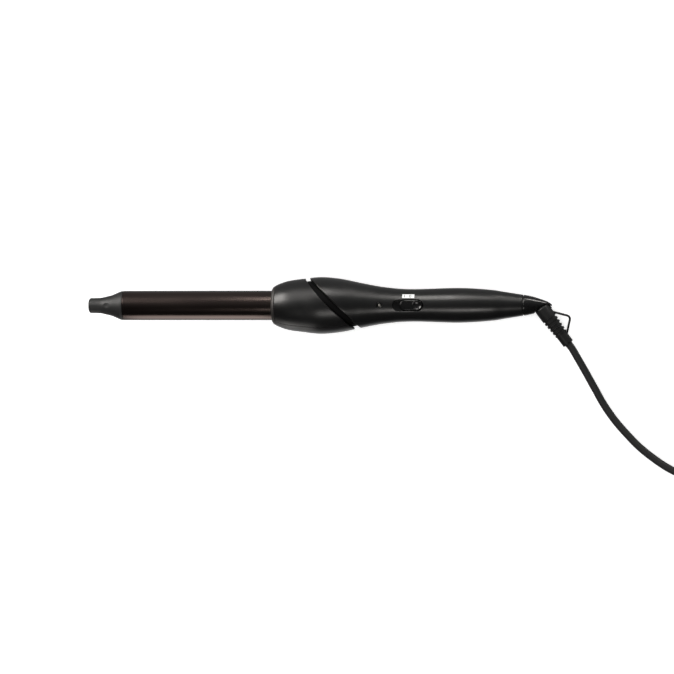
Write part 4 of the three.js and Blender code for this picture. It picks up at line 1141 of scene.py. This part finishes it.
class WAND_OT_relief(bpy.types.Operator):
    """Makes the slotted strain relief, the ball it is moulded on and the hanging loop"""

    bl_idname = "wand.relief"
    bl_label = "Strain relief"

    def execute(self, context):
        sizes = context.scene.wand_sizes
        big = sizes.relief_radius / MM
        outline = softened(
            [
                (2.7, 0), (2.7, big - 1.2, 1.0), (3.6, big, 0.8), (TAPER[0], big, 1.0), (TAPER[1], 5.4, 0.4),
                (30.8, 4.85, 0.3), (40.2, 4.85, 0.5), (40.5, 4.3, 0.2), (40.5, 3.35), (41.4, 3.35), (41.4, 0),
            ]
        )
        relief = spun(outline, 80)
        carve(relief, *self.slots(sizes.rib_cuts, big), self.socket())
        soften(relief, 0.18, 45)
        complete(relief, "relief_sleeve", "relief_rubber", "cord_end", ["strain_relief"], RELIEF)
        self.ball()
        self.loop(sizes)
        return {"FINISHED"}

    def slots(self, cuts, big):
        """Pairs of slots, left and right of the spines that run along the top and the underside."""
        step = (TAPER[1] - TAPER[0]) / cuts
        for side in (1, -1):
            rings = []
            for i in range(cuts):
                start, wide = TAPER[0] + (i + 0.2) * step, step * 0.45
                core = big - 1.1 * (start - TAPER[0]) / (TAPER[1] - TAPER[0]) - 1.0
                ring = [(start, 0), (start, big + 2), (start + wide, big + 2), (start + wide, 0)]
                floor = spun([(start - 1, 0), (start - 1, core), (start + wide + 1, core), (start + wide + 1, 0)], 64)
                rings.append(carve(spun(ring, 64), floor, block((0, -20 * side, -20), (60, 1.9 * side, 20))))
            yield merged(rings)

    def socket(self):
        wide = SEAT_RADIUS
        return spun([(-1, 0), (-1, wide), (3.0, wide), (3.0, 3.3), (8.3, 3.3), (8.3, 0)], 48)

    def ball(self):
        """The ball, with a thin tongue that fills the gap at the relief's front as it tilts."""
        outline = [
            (4.4 * math.cos(math.radians(a)), 4.4 * math.sin(math.radians(a))) for a in range(180, 42, -6)
        ]
        ball = spun([*outline, *softened([(3.2, 3.0), (8.0, 3.0, 0.5), (8.0, 0)])], 64)
        tongue = [block((1.2, -6.2, -0.3), (3.2, 7.2, 0.3)), block((2.9, 6.0, -0.3), (8.0, 7.2, 0.3))]
        carve(ball, *tongue, operation="UNION")
        complete(ball, "swivel_ball", "relief_rubber", "cord_end", ["cord_ball"], RELIEF)

    def loop(self, sizes):
        """A wire bent once, from the relief's head to its collar."""
        root, corner, end = Vector((10.6, 5.2)), Vector((23.2, 15.3)), Vector((33.0, 3.9))
        near, far = corner.lerp(root, 3.4 / (corner - root).length), corner.lerp(end, 3.4 / (corner - end).length)
        bend = [near * (1 - t) ** 2 + corner * 2 * t * (1 - t) + far * t * t for t in (i / 12 for i in range(13))]
        out, back = [root.lerp(near, i / 4) for i in range(4)], [far.lerp(end, i / 4) for i in range(1, 5)]
        points = [*out, *bend, *back]
        clear()
        curve = bpy.data.curves.new("loop_wire", "CURVE")
        curve.dimensions = "3D"
        curve.bevel_depth = sizes.loop_radius
        curve.bevel_resolution = 5
        curve.use_fill_caps = True
        spline = curve.splines.new("POLY")
        spline.points.add(len(points) - 1)
        for knot, (x, y) in zip(spline.points, points):
            knot.co = (x * MM, y * MM, 0, 1)
        loop = bpy.data.objects.new("loop_wire", curve)
        bpy.context.collection.objects.link(loop)
        take(loop)
        bpy.ops.object.convert(target="MESH")
        complete(bpy.context.object, "loop_wire", "relief_rubber", "cord_end", ["hanging_loop"], RELIEF)


class WAND_OT_plug(bpy.types.Operator):
    """Makes the flat two-pin plug and the strap round the coil"""

    bl_idname = "wand.plug"
    bl_label = "Plug and tie"

    def execute(self, context):
        sizes = context.scene.wand_cord
        low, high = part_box("plug_body")
        front, middle = low.x / MM, (low.y + high.y) / 2 / MM
        wide, tall = sizes.plug_width / MM, sizes.plug_height / MM
        self.body(front, middle, wide, tall)
        for name, side in (("live", 1), ("neutral", -1)):
            self.pin(name, front, middle + side * sizes.pin_pitch / MM / 2, tall / 2)
        self.strap(sizes)
        return {"FINISHED"}

    def body(self, front, middle, wide, tall):
        outline = [
            (0, -wide / 2), (15.1, -wide / 2), (20, -15.9), (34, -8.6), (36, -6.5), (36, 6.5), (34, 8.6), (20, 15.9),
            (15.1, wide / 2), (0, wide / 2),
        ]
        body = raised([(front + x, middle + y) for x, y in outline], 0, tall)
        soften(body, 1.6, 20, 5)
        # Four shallow finger grooves across the top and the underside.
        grooves = []
        for i in range(4):
            x = front + 18 + i * 3.6
            for z in (0, tall):
                clear()
                bpy.ops.mesh.primitive_cylinder_add(
                    vertices=24, radius=0.8 * MM, depth=(20 - 2.5 * i) * MM,
                    location=(x * MM, middle * MM, z * MM), rotation=(math.radians(90), 0, 0),
                )
                bpy.ops.object.transform_apply()
                grooves.append(bpy.context.object)
        carve(body, *grooves)
        relief = spun(
            softened(
                [
                    (35, 0), (35, 4.6), (37.5, 4.6, 0.3), (37.5, 4.1), (38.6, 4.1), (38.6, 4.5, 0.2), (40.6, 4.4, 0.2),
                    (40.6, 3.9), (41.7, 3.9), (41.7, 4.2, 0.2), (43.6, 4.1, 0.2), (43.6, 3.7), (44.7, 3.7),
                    (44.7, 4.0, 0.2), (46, 3.8, 0.3), (46, 0),
                ]
            ),
            48,
        )
        relief.data.transform(Matrix.Translation((front * MM, middle * MM, tall / 2 * MM)))
        carve(body, relief, operation="UNION")
        complete(body, "plug_moulding", "plug_plastic", "cord_end", ["plug_body"], Matrix.Identity(4))

    def pin(self, name, front, y, z):
        sleeve = softened([(-9.6, 0), (-9.6, 1.9, 0.1), (0.0, 1.95), (0.0, 0)])
        metal = softened([(-19, 0), (-19, 1.2, 0.3), (-18, 2, 0.8), (-9.8, 2, 0.1), (-9.8, 0)], 6)
        place = Matrix.Translation((front * MM, y * MM, z * MM))
        collar = spun(sleeve, 40)
        complete(collar, f"pin_sleeve_{name}", "plug_plastic", "cord_end", [], place)
        pin = spun(metal, 40)
        complete(pin, f"pin_{name}", "pin_metal", "cord_end", [f"plug_pin_{name}"], place)

    def strap(self, sizes):
        """A flat strap, wrapped once round the coil's near side, with its end laid over itself."""
        low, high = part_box("coil_tie")
        width = sizes.tie_width / MM
        x0, x1, y, z1 = low.x / MM, high.x / MM, (low.y + high.y) / 2 / MM, high.z / MM
        corners = [(x0, 0), (x1, 0), (x1, z1), (x0, z1)]
        outline = softened([(*corners[0], 4.0), *((*c, 5.0) for c in corners), (*corners[0], 4.0)], 8)[1:-1]
        strap = traced([(x, y - width / 2, z) for x, z in outline])
        bpy.ops.mesh.edge_face_add()
        bpy.ops.mesh.delete(type="ONLY_FACE")
        bpy.ops.mesh.select_all(action="SELECT")
        bpy.ops.mesh.extrude_region_move(TRANSFORM_OT_translate={"value": (0, width * MM, 0)})
        bpy.ops.mesh.select_all(action="SELECT")
        bpy.ops.mesh.remove_doubles(threshold=0.01 * MM)
        bpy.ops.mesh.normals_make_consistent(inside=False)
        bpy.ops.object.mode_set(mode="OBJECT")
        modify(strap, "SOLIDIFY", thickness=0.7 * MM, offset=-1, use_even_offset=True)
        soften(strap, 0.15, 50)
        complete(strap, "coil_strap", "tie_strap", "cord_end", ["coil_tie"], Matrix.Identity(4))


class WAND_OT_finishes(bpy.types.Operator):
    """Makes every finish and gives each CAD node its own"""

    bl_idname = "wand.finishes"
    bl_label = "Finishes"

    def execute(self, context):
        FINISHES.update(make_finishes(context.scene.wand_colours))
        for name, slot in SLOTS.items():
            piece = frame["nodes"][name]
            if not piece.material_slots:
                piece.data.materials.append(None)
            for place in piece.material_slots:
                place.material = FINISHES[slot]
        return {"FINISHED"}


class WAND_PT_panel(bpy.types.Panel):
    """Lists the wand's pieces and their sizes"""

    bl_label = "Curling Wand"
    bl_idname = "WAND_PT_panel"
    bl_space_type = "VIEW_3D"
    bl_region_type = "UI"
    bl_category = "Wand"

    def draw(self, context):
        for operator in STEPS:
            self.layout.operator(operator.bl_idname)
        for settings in GROUPS:
            group = getattr(context.scene, settings)
            box = self.layout.box()
            for name in group.bl_rna.properties.keys():
                if name not in ("rna_type", "name"):
                    box.prop(group, name)


STEPS = (
    WAND_OT_finishes, WAND_OT_stage, WAND_OT_cord, WAND_OT_tip, WAND_OT_barrel, WAND_OT_front_shells, WAND_OT_sleeve,
    WAND_OT_handle, WAND_OT_screws, WAND_OT_switch, WAND_OT_legend, WAND_OT_lamp, WAND_OT_cap, WAND_OT_relief,
    WAND_OT_plug,
)
GROUPS = {
    "wand_sizes": WandSizes, "wand_cord": CordSizes, "wand_colours": WandColours, "wand_studio": StudioSettings,
}


def register():
    for made in (*GROUPS.values(), *STEPS, WAND_PT_panel):
        bpy.utils.register_class(made)
    for name, group in GROUPS.items():
        setattr(bpy.types.Scene, name, PointerProperty(type=group))


def unregister():
    for name in GROUPS:
        delattr(bpy.types.Scene, name)
    for made in reversed((*GROUPS.values(), *STEPS, WAND_PT_panel)):
        bpy.utils.unregister_class(made)


def main():
    register()
    for step in STEPS:
        group, name = step.bl_idname.split(".")
        getattr(getattr(bpy.ops, group), name)()


if __name__ == "__main__":
    main()
